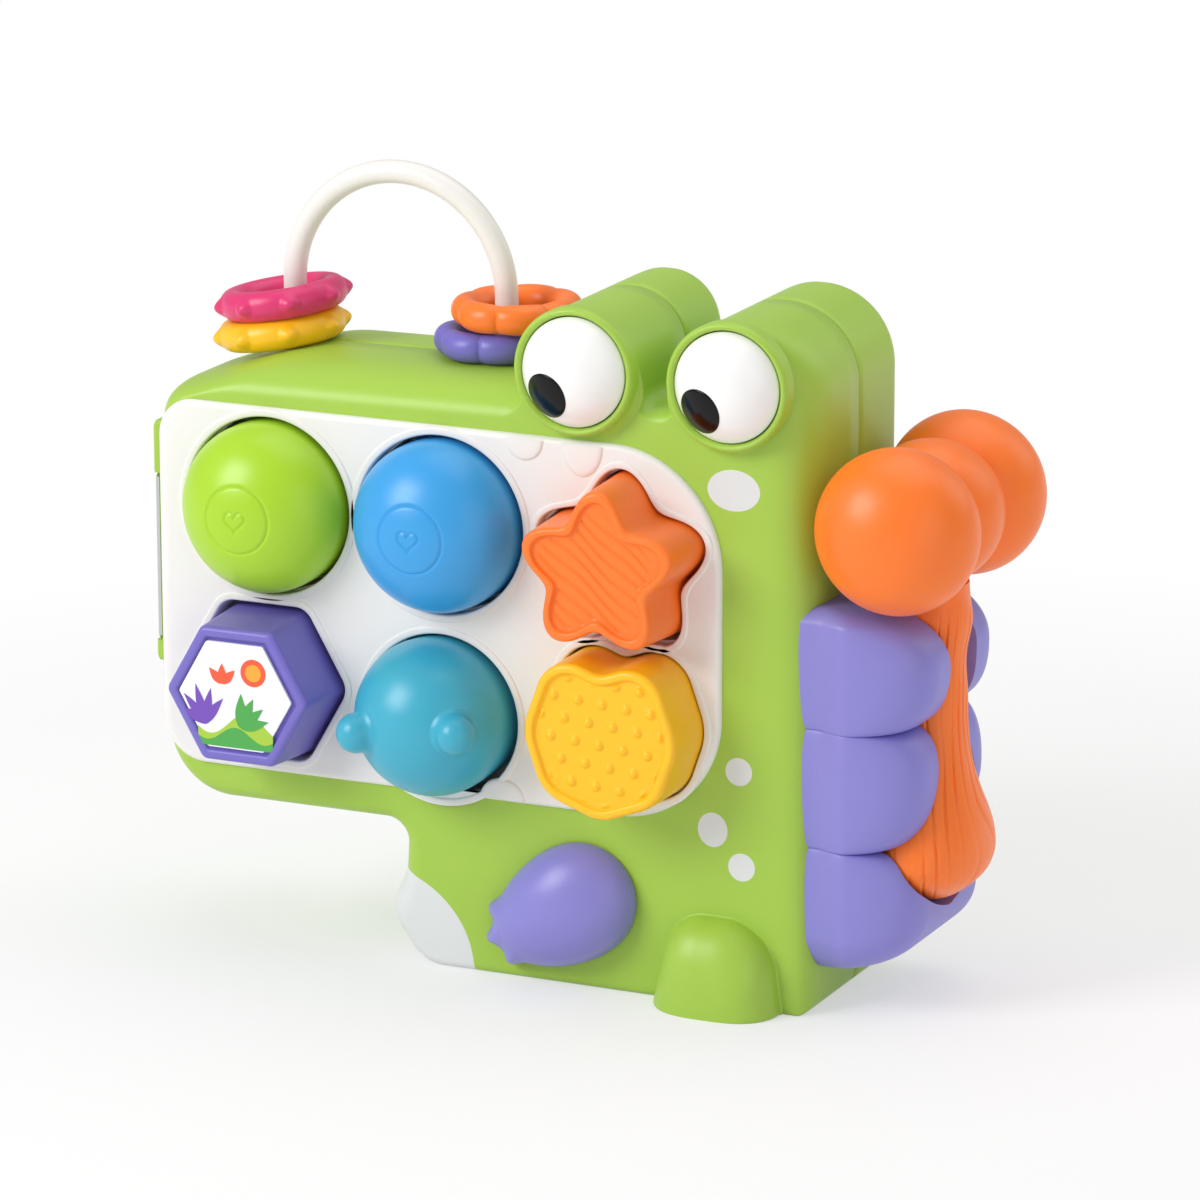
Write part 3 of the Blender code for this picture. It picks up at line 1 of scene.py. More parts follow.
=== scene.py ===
"""Shape sorter: the looks of a toy animal with shape blocks, rolling eyes, rings, a paw and a hammer.

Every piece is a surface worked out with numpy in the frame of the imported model, in metres: -Y is the front,
+X the animal's back, +Z up.
"""
import math

import bmesh
import bpy
import numpy as np
from bpy.props import FloatProperty, FloatVectorProperty, PointerProperty
from mathutils import Euler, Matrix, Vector
from mathutils.geometry import tessellate_polygon


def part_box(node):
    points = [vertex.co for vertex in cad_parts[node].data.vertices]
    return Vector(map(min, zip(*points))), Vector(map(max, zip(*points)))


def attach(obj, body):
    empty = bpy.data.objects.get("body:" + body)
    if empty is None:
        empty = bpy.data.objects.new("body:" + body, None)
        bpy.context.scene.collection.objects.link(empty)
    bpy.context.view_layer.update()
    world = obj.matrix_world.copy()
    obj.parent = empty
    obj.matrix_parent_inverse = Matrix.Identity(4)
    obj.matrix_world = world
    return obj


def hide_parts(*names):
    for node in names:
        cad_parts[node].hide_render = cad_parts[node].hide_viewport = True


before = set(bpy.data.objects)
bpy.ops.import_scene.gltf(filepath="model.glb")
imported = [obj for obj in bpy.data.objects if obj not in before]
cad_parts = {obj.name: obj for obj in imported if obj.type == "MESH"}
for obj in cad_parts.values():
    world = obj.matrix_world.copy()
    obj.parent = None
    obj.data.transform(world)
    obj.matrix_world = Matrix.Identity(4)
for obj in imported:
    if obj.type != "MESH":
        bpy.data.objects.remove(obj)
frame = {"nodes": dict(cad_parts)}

bl_info = {
    "name": "Shape sorter",
    "version": (1, 0, 0),
    "blender": (4, 5, 0),
    "location": "3D View > Sidebar > Shape sorter",
    "description": "Builds the surfaces, finishes and studio of a shape sorter",
    "category": "Add Mesh",
}

MM = 0.001

# Housing
FRONT_Y = -0.034
REAR_Y = 0.034
SEAM_Y = 0.002
WALL = 0.0025
HEEL_SOFT = 0.016
HEEL_TOP = 0.034
EYE_X = {"left": -0.0141, "right": 0.0341}
EYE_Z = 0.187
PUPIL_R = 0.007
PUPIL_SHIFT = (-0.0058, -0.0063)
TUBE_R = 0.018
RIM_R = 0.019
EYE_TOP = EYE_Z + TUBE_R
VALLEY_Z = 0.178
BROW_Z = 0.1805
BODY_RIGHT = 0.0585
SCREW_SPOTS = (
    (0.045, 0.15), (0.045, 0.07), (-0.052, 0.02), (0.03, 0.014), (-0.08665, 0.108), (-0.02955, 0.106),
)
WELL_R = 0.0038
WELL_FLOOR_Y = 0.016

# Mouth plate and its holes
PLATE_Y = -0.036
PLATE_BACK_Y = -0.0315
PLATE_LEFT = -0.1525
PLATE_RIGHT = 0.0313
PLATE_BOTTOM = 0.0545
PLATE_TOP = 0.1663
DOME_HOLE_R = 0.027
BALL_HOLE_R = 0.025
GREEN = (-0.115, 0.1366)
BLUE = (-0.0583, 0.1366)
STAR = (0.0, 0.1315)
HEXAGON = (-0.1165, 0.0828)
BALL = (-0.0583, 0.0785)
HEART = (0.0015, 0.0815)

# Blocks
BLOCK_FRONT_Y = -0.056
DOME_FRONT_Y = -0.0575
BALL_FRONT_Y = -0.062
BLOCK_BACK_Y = -0.0203
PLAY = 0.0013
DRAFT = 0.0018
RECESS = 0.0014
BLOCK_EDGE = 0.0016
FLAT_RIM = 0.0034

# Arch, rings, bumps, hammer and paw
ARCH_X = -0.0894
ARCH_Z = 0.1975
ARCH_R = 0.0351
HAMMER_X = 0.0835
HAMMER_Z = 0.1482
HEAD_LEAN = (-0.0004, -0.0022, -0.0006)
RING_R = 0.0155
RING_REACH = 0.0043
RING_RISE = 0.0045
BUMP_SINK = 0.012
GROOVE_GAP = 0.0009
HANDLE_BOTTOM = 0.031
HANDLE_TOP = 0.1266
# Each lobe's lowest and highest point, how far it stands out, and how far at its lower and upper end
BUMP_LOBES = (
    (0.0133, 0.0508, 0.031, 0.0, 0.017),
    (0.0508, 0.0865, 0.0322, 0.017, 0.0215),
    (0.0865, 0.1225, 0.0342, 0.0215, 0.0),
)
PAW = (-0.0178, 0.0255)
PAW_LEAN = (-0.0012, -0.0014)
PAW_TOES = (141.0, 172.0, 207.0)
PAW_TURN = math.radians(31)


def srgb(colour):
    """A colour as the eye reads it, turned into the linear values that a shader takes."""
    return tuple(c / 12.92 if c <= 0.04045 else ((c + 0.055) / 1.055) ** 2.4 for c in colour[:3]) + (1.0,)


def smooth(share):
    """An S curve from 0 to 1."""
    share = np.clip(share, 0.0, 1.0)
    return share * share * (3 - 2 * share)


def quarter(count):
    """Evenly spaced angles from nothing to a right angle."""
    return np.linspace(0, np.pi / 2, count)


# Surfaces

class Form:
    """Points and faces of one piece, gathered from several surfaces."""

    def __init__(self):
        self.points = []
        self.faces = []
        self.count = 0

    def add(self, points, faces):
        """Put a surface's points and faces in."""
        points = np.asarray(points, float).reshape(-1, 3)
        self.points.append(points)
        self.faces.append(np.asarray(faces, int) + self.count)
        self.count += len(points)

    def grid(self, rows, wrap=True, open_rows=True):
        """A grid of points (rows, columns, 3): quads between neighbours, closed along a row when wrap."""
        rows = np.asarray(rows, float)
        height, width = rows.shape[:2]
        a = np.arange(height if not open_rows else height - 1)[:, None]
        b = np.arange(width if wrap else width - 1)[None, :]
        next_a, next_b = (a + 1) % height, (b + 1) % width
        quads = np.stack([a * width + b, a * width + next_b, next_a * width + next_b, next_a * width + b], -1)
        self.add(rows, quads.reshape(-1, 4))

    def cap(self, loops):
        """A flat face inside the first loop and outside the others."""
        loops = [np.asarray(loop, float) for loop in loops]
        found = tessellate_polygon([[Vector(point) for point in loop] for loop in loops])
        self.add(np.concatenate(loops), np.array([tuple(face) for face in found]))

    def closed(self, rows):
        """A grid with a flat face over its first and its last row."""
        self.grid(rows)
        self.cap([rows[0]])
        self.cap([rows[-1]])

    def mesh(self, name, weld=0.000002):
        """The gathered surfaces as one mesh, welded where they meet, faces outwards."""
        points = np.concatenate(self.points)
        made = bpy.data.meshes.new(name)
        sizes = np.concatenate([np.full(len(faces), faces.shape[1]) for faces in self.faces])
        corners = np.concatenate([faces.ravel() for faces in self.faces])
        made.vertices.add(len(points))
        made.vertices.foreach_set("co", points.ravel())
        made.loops.add(len(corners))
        made.loops.foreach_set("vertex_index", corners)
        made.polygons.add(len(sizes))
        made.polygons.foreach_set("loop_start", np.concatenate([[0], np.cumsum(sizes)[:-1]]))
        made.polygons.foreach_set("loop_total", sizes)
        made.update(calc_edges=True)
        work = bmesh.new()
        work.from_mesh(made)
        bmesh.ops.remove_doubles(work, verts=work.verts, dist=weld)
        bmesh.ops.dissolve_degenerate(work, edges=work.edges, dist=weld / 4)
        bmesh.ops.recalc_face_normals(work, faces=work.faces)
        work.to_mesh(made)
        work.free()
        return made


def piece(name, form, body, slot, finish, replaces=(), sharp=40.0):
    """Link a form as a named piece that rides on a body and stands for CAD nodes."""
    mesh = form.mesh(name)
    mesh.materials.append(finish)
    item = bpy.data.objects.new(name, mesh)
    bpy.context.scene.collection.objects.link(item)
    mesh.shade_smooth()
    mesh.set_sharp_from_angle(angle=math.radians(sharp))
    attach(item, body)
    if replaces:
        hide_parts(*replaces)


def at_y(outline, y):
    """An outline of (x, z) points as a loop at a depth."""
    outline = np.asarray(outline, float)
    return np.stack([outline[:, 0], np.full(len(outline), y), outline[:, 1]], -1)


def stack(outlines, depths):
    """Outlines of equal count at their depths, as grid rows."""
    return np.array([at_y(outline, y) for outline, y in zip(outlines, depths)])


def circle(radius, steps, x=0.0, z=0.0):
    """Points of a circle, starting at +X."""
    turn = 2 * np.pi * np.arange(steps) / steps
    return np.stack([x + radius * np.cos(turn), z + radius * np.sin(turn)], -1)


def turned(profile, steps, x, z):
    """Rows of a body turned about an axis along Y: every (y, radius) pair becomes a circle."""
    return np.array([at_y(circle(radius, steps, x, z), y) for y, radius in profile])


def rounded(corners, insets):
    """An outline from (x, z, round, steps) corners whose edges move inwards by insets.

    Each corner's arc is tangent to its two moved edges. Its radius is the given one less the mean inset, and
    neighbouring arcs are drawn in alike where their edge is too short for both.
    """
    spots = np.array([corner[:2] for corner in corners])
    rounds = np.array([corner[2] for corner in corners])
    insets = np.asarray(insets, float)
    along = np.roll(spots, -1, 0) - spots
    along /= np.linalg.norm(along, axis=1)[:, None]
    come, go = np.roll(along, 1, 0), along
    inset_in, inset_out = np.roll(insets, 1), insets
    cross = come[:, 0] * go[:, 1] - come[:, 1] * go[:, 0]
    dot = (come * go).sum(1)
    slide = (inset_out - inset_in * dot) / cross
    moved = spots + np.stack([-come[:, 1], come[:, 0]], -1) * inset_in[:, None] - come * slide[:, None]
    side = np.sign(cross)
    radius = np.maximum(rounds - side * (inset_in + inset_out) / 2, 0.001)
    turn = np.arctan2(np.abs(cross), dot)
    reach = radius * np.tan(turn / 2)
    length = np.linalg.norm(np.roll(moved, -1, 0) - moved, axis=1)
    room = np.minimum(1.0, length * 0.97 / (reach + np.roll(reach, -1)))
    share = np.minimum(np.roll(room, 1), room)
    radius, reach = radius * share, reach * share
    loops = []
    for i, corner in enumerate(corners):
        normal = np.array([come[i, 1], -come[i, 0]]) * side[i]
        middle = moved[i] - come[i] * reach[i] - normal * radius[i]
        angle = turn[i] * np.linspace(0, 1, corner[3] + 1)
        cos, sin = np.cos(angle), np.sin(angle) * side[i]
        start = normal * radius[i]
        loops.append(np.stack([
            middle[0] + start[0] * cos - start[1] * sin,
            middle[1] + start[0] * sin + start[1] * cos,
        ], -1))
    return np.concatenate(loops)


# Housing

BODY_CORNERS = (
    (-0.07, 0.0, 0.013, 14),
    (BODY_RIGHT, 0.0, 0.004, 14),
    (BODY_RIGHT, EYE_TOP, 0.0228, 26),
    (EYE_X["right"] - TUBE_R, EYE_TOP, TUBE_R, 26),
    (EYE_X["right"] - TUBE_R, VALLEY_Z, 0.004, 10),
    (EYE_X["left"] + TUBE_R, VALLEY_Z, 0.004, 10),
    (EYE_X["left"] + TUBE_R, EYE_TOP, TUBE_R, 26),
    (EYE_X["left"] - TUBE_R, EYE_TOP, TUBE_R, 26),
    (EYE_X["left"] - TUBE_R, BROW_Z, 0.004, 14),
    (-0.117, 0.1795, 0.05, 16),
    (-0.156, 0.167, 0.012, 16),
    (-0.156, 0.043, 0.023, 24),
    (-0.0735, 0.043, 0.006, 14),
    (-0.0742, 0.028, 0.012, 10),
    (-0.0802, 0.0145, 0.011, 14),
)

# How each edge softens: front run, front drop, rear run, rear drop, in millimetres
BODY_SOFTNESS = (
    (3, 3, 3, 3), (16, 16, 6, 7), (3, 0.4, 6, 5), (3, 0.4, 9, 9), (9, 5, 9, 6), (3, 0.4, 9, 9), (3, 0.4, 6, 5),
    (3, 0.4, 9, 9), (20, 11, 34, 5), (20, 5, 34, 4), (20, 9, 10, 4), (8, 5, 8, 5), (10, 8, 10, 8), (10, 8, 10, 8),
    (10, 8, 10, 8),
)
FACE_STEPS = np.array([
    0, 0.04, 0.12, 0.25, 0.45, 0.7, 1.0, 1.4, 1.9, 2.5, 3.2, 4.0, 5.0, 6.2, 7.6, 9.2, 11.0, 13.2, 16.0, 19.5,
    23.5, 28.0,
]) * MM


def body_outline(depth, front=True, extra=0.0):
    """The housing's outline at a depth behind its face: every edge moves in along a quarter ellipse."""
    insets = []
    for front_run, front_drop, rear_run, rear_drop in BODY_SOFTNESS:
        run, drop = (front_run * MM, front_drop * MM) if front else (rear_run * MM, rear_drop * MM)
        reach = min(max((run - depth) / run, 0.0), 1.0)
        insets.append(extra + drop * (1 - math.sqrt(1 - reach * reach)))
    return rounded(BODY_CORNERS, insets)


def square_heel(rows):
    """The front right edge, a quarter round in plan, squared out towards the floor as a superellipse."""
    soft = HEEL_SOFT
    along, across = (rows[..., 0] - BODY_RIGHT + soft) / soft, (rows[..., 1] - FRONT_Y - soft) / -soft
    low = smooth((HEEL_TOP - rows[..., 2]) / 0.03)
    power = 2 / (2 + 3.5 * low)
    inside = (along > 0) & (across > 0) & (rows[..., 2] < HEEL_TOP)
    length = np.hypot(along, across)
    turn = np.arctan2(np.clip(across, 0, 1), np.clip(along, 0.0001, 1))
    reach_x, reach_y = np.abs(np.cos(turn)) ** power, np.abs(np.sin(turn)) ** power
    grow = np.hypot(reach_x, reach_y) * length
    new_turn = np.arctan2(reach_y, reach_x)
    rows = rows.copy()
    rows[..., 0] = np.where(inside, BODY_RIGHT - soft + soft * grow * np.cos(new_turn), rows[..., 0])
    rows[..., 1] = np.where(inside, FRONT_Y + soft - soft * grow * np.sin(new_turn), rows[..., 1])
    return rows


def half_housing(form, front):
    """One half of the housing: its skin from the face to the seam, with a fine chamfer at the seam."""
    face_y = FRONT_Y if front else REAR_Y
    way = 1 if front else -1
    stop_y = SEAM_Y if front else SEAM_Y + 0.0003
    length = abs(stop_y - face_y)
    chamfer = 0.0003
    depths = [d for d in FACE_STEPS if d < length - 2 * chamfer] + [length - chamfer, length, length]
    extras = [0.0] * (len(depths) - 2) + [chamfer, WALL]
    outlines = [body_outline(depth, front, extra) for depth, extra in zip(depths, extras)]
    rows = stack(outlines, [face_y + way * depth for depth in depths])
    if front:
        rows = square_heel(rows)
    form.grid(rows)
    return outlines[0]


def plate_outline(inset=0.0, end_inset=0.0):
    """The mouth plate's outline: its end at the snout may move in further, as it wraps round the snout."""
    corners = (
        (PLATE_LEFT, PLATE_BOTTOM, 0.014, 20),
        (PLATE_RIGHT, PLATE_BOTTOM, 0.033, 40),
        (PLATE_RIGHT, PLATE_TOP, 0.035, 40),
        (PLATE_LEFT, PLATE_TOP, 0.012, 16),
    )
    return rounded(corners, [inset, inset, inset, inset + end_inset])


def eye_rim(form, x, right):
    """A soft ring round the socket, its tube running back into the housing, and a hollow fillet at the face.

    The fillet is a quarter circle whose size swings from nothing above the eye to its full size below it.
    """
    lip = [(-0.018, TUBE_R - 0.0006), (-0.0322, TUBE_R - 0.0002)]
    lip += [(-0.0322 - 0.001 * math.sin(a), RIM_R - 0.0011 * math.cos(a)) for a in quarter(7)]
    lip += [(-0.0345, RIM_R), (-0.0368, RIM_R)]
    turns = np.linspace(0, np.pi, 15)
    half = (RIM_R - 0.0165) / 2
    lip += [(-0.0368 - 0.0022 * math.sin(a), 0.0165 + half + half * math.cos(a)) for a in turns[1:]]
    lip += [(-0.0335, 0.0164), (-0.0325, 0.0163)]
    form.grid(turned(lip, 96, x, EYE_Z))
    angle = 2 * np.pi * np.arange(97) / 96
    below = smooth((0.25 - np.sin(angle)) / 0.7)
    if right:
        below = below * smooth((0.75 - np.cos(angle + 0.35)) / 0.35)
    else:
        below = below * smooth((0.98 + np.cos(angle)) / 0.25)
    size = 0.0026 * below
    rows = []
    for turn in quarter(9):
        radius = RIM_R + size * (1 - math.cos(turn)) - 0.00005
        y = FRONT_Y - size * (1 - math.sin(turn)) + 0.00003
        rows.append(np.stack([x + radius * np.cos(angle), y, EYE_Z + radius * np.sin(angle)], -1))
    form.grid(np.array(rows), wrap=False)


def foot(form):
    """The sitting foot: an outline that shrinks along a quarter ellipse towards the floor, with a hollow fillet."""
    corners = (
        (0.0108, 0.0, 0.001, 4), (0.0504, 0.0, 0.001, 4), (0.0468, 0.0274, 0.0165, 26), (0.0166, 0.0274, 0.012, 24),
    )
    anchor = np.array([0.0317, 0.0])
    fillet = 0.0008
    rows = []
    for turn in quarter(7):
        spread = -fillet * (1 - math.sin(turn))
        outline = rounded(corners, [0.0, spread, spread, spread])
        rows.append(at_y(outline, FRONT_Y + 0.00003 - fillet * (1 - math.cos(turn))))
    outline = rounded(corners, [0.0] * 4)
    for turn in np.linspace(0.06, np.pi / 2, 26):
        scale = max(math.cos(turn) ** 0.66, 0.002)
        rows.append(at_y(anchor + (outline - anchor) * scale, FRONT_Y - fillet - 0.013 * math.sin(turn)))
    form.grid(np.array(rows))
    form.cap([rows[-1]])


class SORTER_OT_housing(bpy.types.Operator):
    """Both halves of the green housing, with the eye rims and the foot"""
    bl_idname = "sorter.housing"
    bl_label = "Housing"

    def execute(self, context):
        finish = housing_finish(context.scene.sorter_colours)
        front = Form()
        outline = half_housing(front, True)
        openings = [shape(-0.0004) for shape in HOLES]
        front.cap([at_y(outline, FRONT_Y)] + [at_y(opening, FRONT_Y)[::-1] for opening in openings])
        for opening in openings:
            front.grid(stack([opening, opening], [FRONT_Y, PLATE_BACK_Y + 0.0001]))
        eye_rim(front, EYE_X["left"], False)
        eye_rim(front, EYE_X["right"], True)
        foot(front)
        piece("housing_front", front, "body", "green", finish, ("front_shell",), 50)
        rear = Form()
        outline = half_housing(rear, False)
        wells = [circle(WELL_R, 28, x, z) for x, z in SCREW_SPOTS]
        rear.cap([at_y(outline, REAR_Y)] + [at_y(well, REAR_Y)[::-1] for well in wells])
        for well in wells:
            rear.grid(stack([well, well], [REAR_Y, WELL_FLOOR_Y]))
            rear.cap([at_y(well, WELL_FLOOR_Y)])
        piece("housing_rear", rear, "body", "green", finish, ("rear_shell",), 50)
        return {"FINISHED"}


# Outlines of the holes, each as a function of its inset

def round_shape(centre, radius, steps=120):
    """A circle that shrinks by its inset."""
    return lambda inset: circle(radius - inset, steps, centre[0], centre[1])


def star_shape(inset):
    """Five soft lobes, one pointing up: the radius swings once per lobe."""
    turn = np.pi / 2 + 2 * np.pi * np.arange(200) / 200
    radius = 0.0278 - inset - 0.00375 * (1 - np.cos(5 * (turn - np.pi / 2)))
    return np.stack([STAR[0] + radius * np.cos(turn), STAR[1] + radius * np.sin(turn)], -1)


def hexagon_shape(inset):
    """A hexagon with level top and bottom flats and round corners."""
    reach = 0.0474 / math.sqrt(3)
    corners = [
        (HEXAGON[0] + reach * math.cos(math.pi / 3 * i), HEXAGON[1] + reach * math.sin(math.pi / 3 * i), 0.006, 12)
        for i in range(6)
    ]
    return rounded(corners, [inset] * 6)


def heart_shape(inset):
    """A full heart: a tip, two sides, two lobes and a shallow notch."""
    half = (
        (0.0, -0.0244, 0.013, 20), (0.0192, -0.0172, 0.014, 20), (0.0259, 0.002, 0.017, 20),
        (0.0167, 0.0277, 0.012, 30), (0.0, 0.0216, 0.006, 14),
    )
    spots = half + tuple((-x, z, radius, steps) for x, z, radius, steps in half[-2:0:-1])
    corners = [(HEART[0] + x, HEART[1] + z, radius, steps) for x, z, radius, steps in spots]
    return rounded(corners, [inset] * len(corners))


HOLES = (
    round_shape(GREEN, DOME_HOLE_R), round_shape(BLUE, DOME_HOLE_R), star_shape, hexagon_shape,
    round_shape(BALL, BALL_HOLE_R), heart_shape,
)


def collar(form, shape, width, height):
    """A low raised band round a hole: a quarter-round lip, a flat top and a soft outer step."""
    rows = [(0.0, PLATE_BACK_Y), (0.0, PLATE_Y + 0.001)]
    rows += [(-0.0007 * (1 - math.cos(a)), PLATE_Y + 0.0004 - (0.0004 + height) * math.sin(a))
             for a in quarter(6)]
    rows += [(-width + 0.0006 - 0.0006 * math.sin(a), PLATE_Y - height + (height + 0.00005) * (1 - math.cos(a)))
             for a in quarter(6)]
    form.grid(stack([shape(inset) for inset, y in rows], [y for inset, y in rows]))


def tooth(form, x, edge_z, half_w, height, proud):
    """A low tooth: half an ellipse on the plate, its height swelling like a dome that is cut at the edge."""
    turn = np.linspace(0, np.pi, 40)
    rows = []
    for share, rise in ((1.0, 0.0), (0.95, 0.62), (0.86, 0.9), (0.7, 1.0), (0.02, 1.0)):
        xs = x + half_w * share * np.cos(turn)
        zs = edge_z + height * share * np.sin(turn)
        rows.append(np.stack([xs, np.full(40, PLATE_Y + 0.00004 - proud * rise), zs], -1))
    form.grid(np.array(rows), wrap=False)


class SORTER_OT_mouth_plate(bpy.types.Operator):
    """The white mouth plate with its collars and teeth"""
    bl_idname = "sorter.mouth_plate"
    bl_label = "Mouth plate"

    def execute(self, context):
        sizes, colours = context.scene.sorter_sizes, context.scene.sorter_colours
        form = Form()
        edge = 0.0018
        rows = [(0.0, share * 0.0045 + PLATE_Y) for share in np.linspace(1.0, 0.45, 8)]
        rows += [(edge * (1 - math.cos(a)), PLATE_Y + edge * (1 - math.sin(a))) for a in quarter(13)]
        wraps = [0.0025 * (1 - math.sqrt(1 - min(1.0, 1 - (y - PLATE_Y) / 0.0045) ** 2)) for inset, y in rows]
        outlines = [plate_outline(inset, wrap) for (inset, y), wrap in zip(rows, wraps)]
        form.grid(stack(outlines, [y for inset, y in rows]))
        form.cap([at_y(outlines[-1], PLATE_Y)] + [at_y(shape(-0.0008), PLATE_Y)[::-1] for shape in HOLES])
        form.cap([at_y(outlines[0], PLATE_BACK_Y)] + [at_y(shape(0.0), PLATE_BACK_Y)[::-1] for shape in HOLES])
        for shape in HOLES:
            collar(form, shape, sizes.collar_width, sizes.collar_height)
        for x, half_w, height in ((-0.0308, 0.0062, -0.0064), (-0.0122, 0.0066, -0.0096)):
            tooth(form, x, PLATE_TOP - edge * 0.6, half_w, height, 0.0007)
        tooth(form, -0.0384, PLATE_BOTTOM + edge * 0.6, 0.0072, 0.0062, 0.0007)
        white = plastic("white_plastic", colours.white, 0.42, 0.03)
        piece("mouth_plate", form, "body", "white", white, ("face_plate",))
        return {"FINISHED"}


# Blocks

def line_distance(points, curve):
    """The least distance from each (x, z) point to a dense curve's points."""
    gap = points[..., None, :] - curve
    return np.sqrt((gap * gap).sum(-1).min(-1))


def heart_curve(centre, size):
    """A heart line: x swings as the cube of a sine, z as a sum of four cosines."""
    turn = np.linspace(0, 2 * np.pi, 160)
    x = 16 * np.sin(turn) ** 3
    z = 13 * np.cos(turn) - 5 * np.cos(2 * turn) - 2 * np.cos(3 * turn) - np.cos(4 * turn)
    return np.stack([centre[0] + x * size / 32, centre[1] + z * size / 32], -1)


def dome_rows(centre, radius, tip_y, height, relief, rings=110, steps=240):
    """A dome: depth follows half an ellipse of the radius, less a relief worked out for every point."""
    share = np.sin(np.linspace(np.pi / 2, 0.004, rings))
    turn = 2 * np.pi * np.arange(steps) / steps
    xz = np.stack([
        centre[0] + radius * share[:, None] * np.cos(turn), centre[1] + radius * share[:, None] * np.sin(turn),
    ], -1)
    depth = tip_y + height - height * np.sqrt(1 - np.clip(share, 0, 1) ** 2)[:, None]
    depth = depth - relief(xz)
    return np.stack([xz[..., 0], depth, xz[..., 1]], -1)


def no_relief(xz):
    """A face without relief."""
    return xz[..., 0] * 0


def block_back(form, shape, front_row):
    """A block's back: a rounded edge and a closed floor behind the given row."""
    rows = [shape(BLOCK_EDGE * math.sin(a)) for a in quarter(6)]
    depths = [BLOCK_BACK_Y - BLOCK_EDGE * math.cos(a) for a in quarter(6)]
    loops = stack(rows, depths)
    form.grid(np.concatenate([front_row[None], loops]))
    form.cap([loops[-1]])


def dome_block(name, body, slot, finish, centre, radius, tip_y, height, relief, replaces, extra=None, back=None):
    """A round block: a skirt, a dome with its relief, and whatever stands on it."""
    form = Form()
    block_r = radius - PLAY
    rows = dome_rows(centre, block_r, tip_y, height, relief)
    form.grid(rows)
    form.cap([rows[-1]])
    block_back(form, back or round_shape(centre, block_r, 240), rows[0])
    if extra:
        extra(form, centre, block_r, tip_y, height)
    piece(name, form, body, slot, finish, replaces)


def heart_relief(centre, heart_size, ring_r, depth):
    """Fine engraved lines: a heart and a ring, each a bell curve of the distance to its line."""
    heart = heart_curve(centre, heart_size)

    def relief(xz):
        lines = np.exp(-(line_distance(xz, heart) / 0.0004) ** 2)
        ring = np.exp(-((np.hypot(xz[..., 0] - centre[0], xz[..., 1] - centre[1]) - ring_r) / 0.0004) ** 2)
        return -depth * np.maximum(lines, ring)
    return relief


class SORTER_OT_dome_blocks(bpy.types.Operator):
    """The green and the blue dome block, with their engraved lines"""
    bl_idname = "sorter.dome_blocks"
    bl_label = "Dome blocks"

    def execute(self, context):
        sizes, colours = context.scene.sorter_sizes, context.scene.sorter_colours
        height = DOME_HOLE_R * 0.74
        lime = plastic("lime_plastic", colours.lime, 0.34, 0.05)
        blue = plastic("blue_plastic", colours.blue, 0.34, 0.05)
        for name, centre, finish, slot in (("green", GREEN, lime, "lime"), ("blue", BLUE, blue, "blue")):
            relief = heart_relief(centre, 0.0066, 0.0102, sizes.line_depth)
            dome_block(name + "_dome", name + "_block", slot, finish, centre, DOME_HOLE_R, DOME_FRONT_Y, height, relief,
                       (name + "_dome_block",))
        return {"FINISHED"}


def evenly(loop, count):
    """The same closed outline with its points spread evenly along its length, from the same first point."""
    closed = np.vstack([loop, loop[:1]])
    way = np.concatenate([[0], np.cumsum(np.linalg.norm(np.diff(closed, axis=0), axis=1))])
    spots = np.arange(count) / count * way[-1]
    return np.stack([np.interp(spots, way, closed[:, 0]), np.interp(spots, way, closed[:, 1])], -1)


def flat_block(form, hole, centre, rim, relief, rings=70, draft=DRAFT, play=PLAY, lean=(0.0, 0.0)):
    """A block with a round-topped rim about a sunk face.

    The wall leans in by the draft. The rim is half a round from the wall over to its inner side, and the sunk
    face is the inner outline shrunk to its middle, less a relief worked out for every point.
    """
    def shape(inset):
        return evenly(hole(play + inset) + np.array(lean), 340)

    edge = BLOCK_EDGE
    rows = [(draft * share, BLOCK_BACK_Y - edge + (BLOCK_FRONT_Y + edge * 1.2 - BLOCK_BACK_Y + edge) * share)
            for share in np.linspace(0, 1, 4)]
    rows += [(draft + edge * (1 - math.cos(a)), BLOCK_FRONT_Y + edge * 1.2 * (1 - math.sin(a)))
             for a in quarter(11)[1:]]
    rows += [(draft + rim - 0.001 * (1 - math.sin(a)), BLOCK_FRONT_Y + 0.001 * (1 - math.cos(a)))
             for a in quarter(9)]
    floor_y = BLOCK_FRONT_Y + RECESS
    rows += [(draft + rim + 0.0001, floor_y - 0.0003), (draft + rim + 0.0004, floor_y)]
    loops = stack([shape(inset) for inset, y in rows], [y for inset, y in rows])
    form.grid(loops)
    block_back(form, shape, loops[0])
    inner = loops[-1][:, [0, 2]]
    middle = np.array(centre)
    share = np.linspace(1, 0.003, rings)[:, None, None]
    xz = middle + (inner - middle) * share
    fade = smooth((1 - share[..., 0]) / 0.06)
    depth = floor_y - relief(xz) * fade
    face = np.stack([xz[..., 0], depth, xz[..., 1]], -1)
    form.grid(face)
    form.cap([face[-1]])


def wavy_grooves(xz):
    """Thin grooves that run down to the right: a bell curve of the distance to the nearest wavy line."""
    across = (xz[..., 0] - STAR[0]) * 0.62 + (xz[..., 1] - STAR[1]) * 0.78
    along = (xz[..., 0] - STAR[0]) * 0.78 - (xz[..., 1] - STAR[1]) * 0.62
    wave = across + 0.0006 * np.sin(along / 0.0042 + across * 300)
    gap = np.abs((wave / 0.0034 + 0.5) % 1.0 - 0.5) * 0.0034
    ends = smooth((0.0205 - np.hypot(across, along)) / 0.004)
    return -0.00042 * np.exp(-(gap / 0.00042) ** 2) * ends


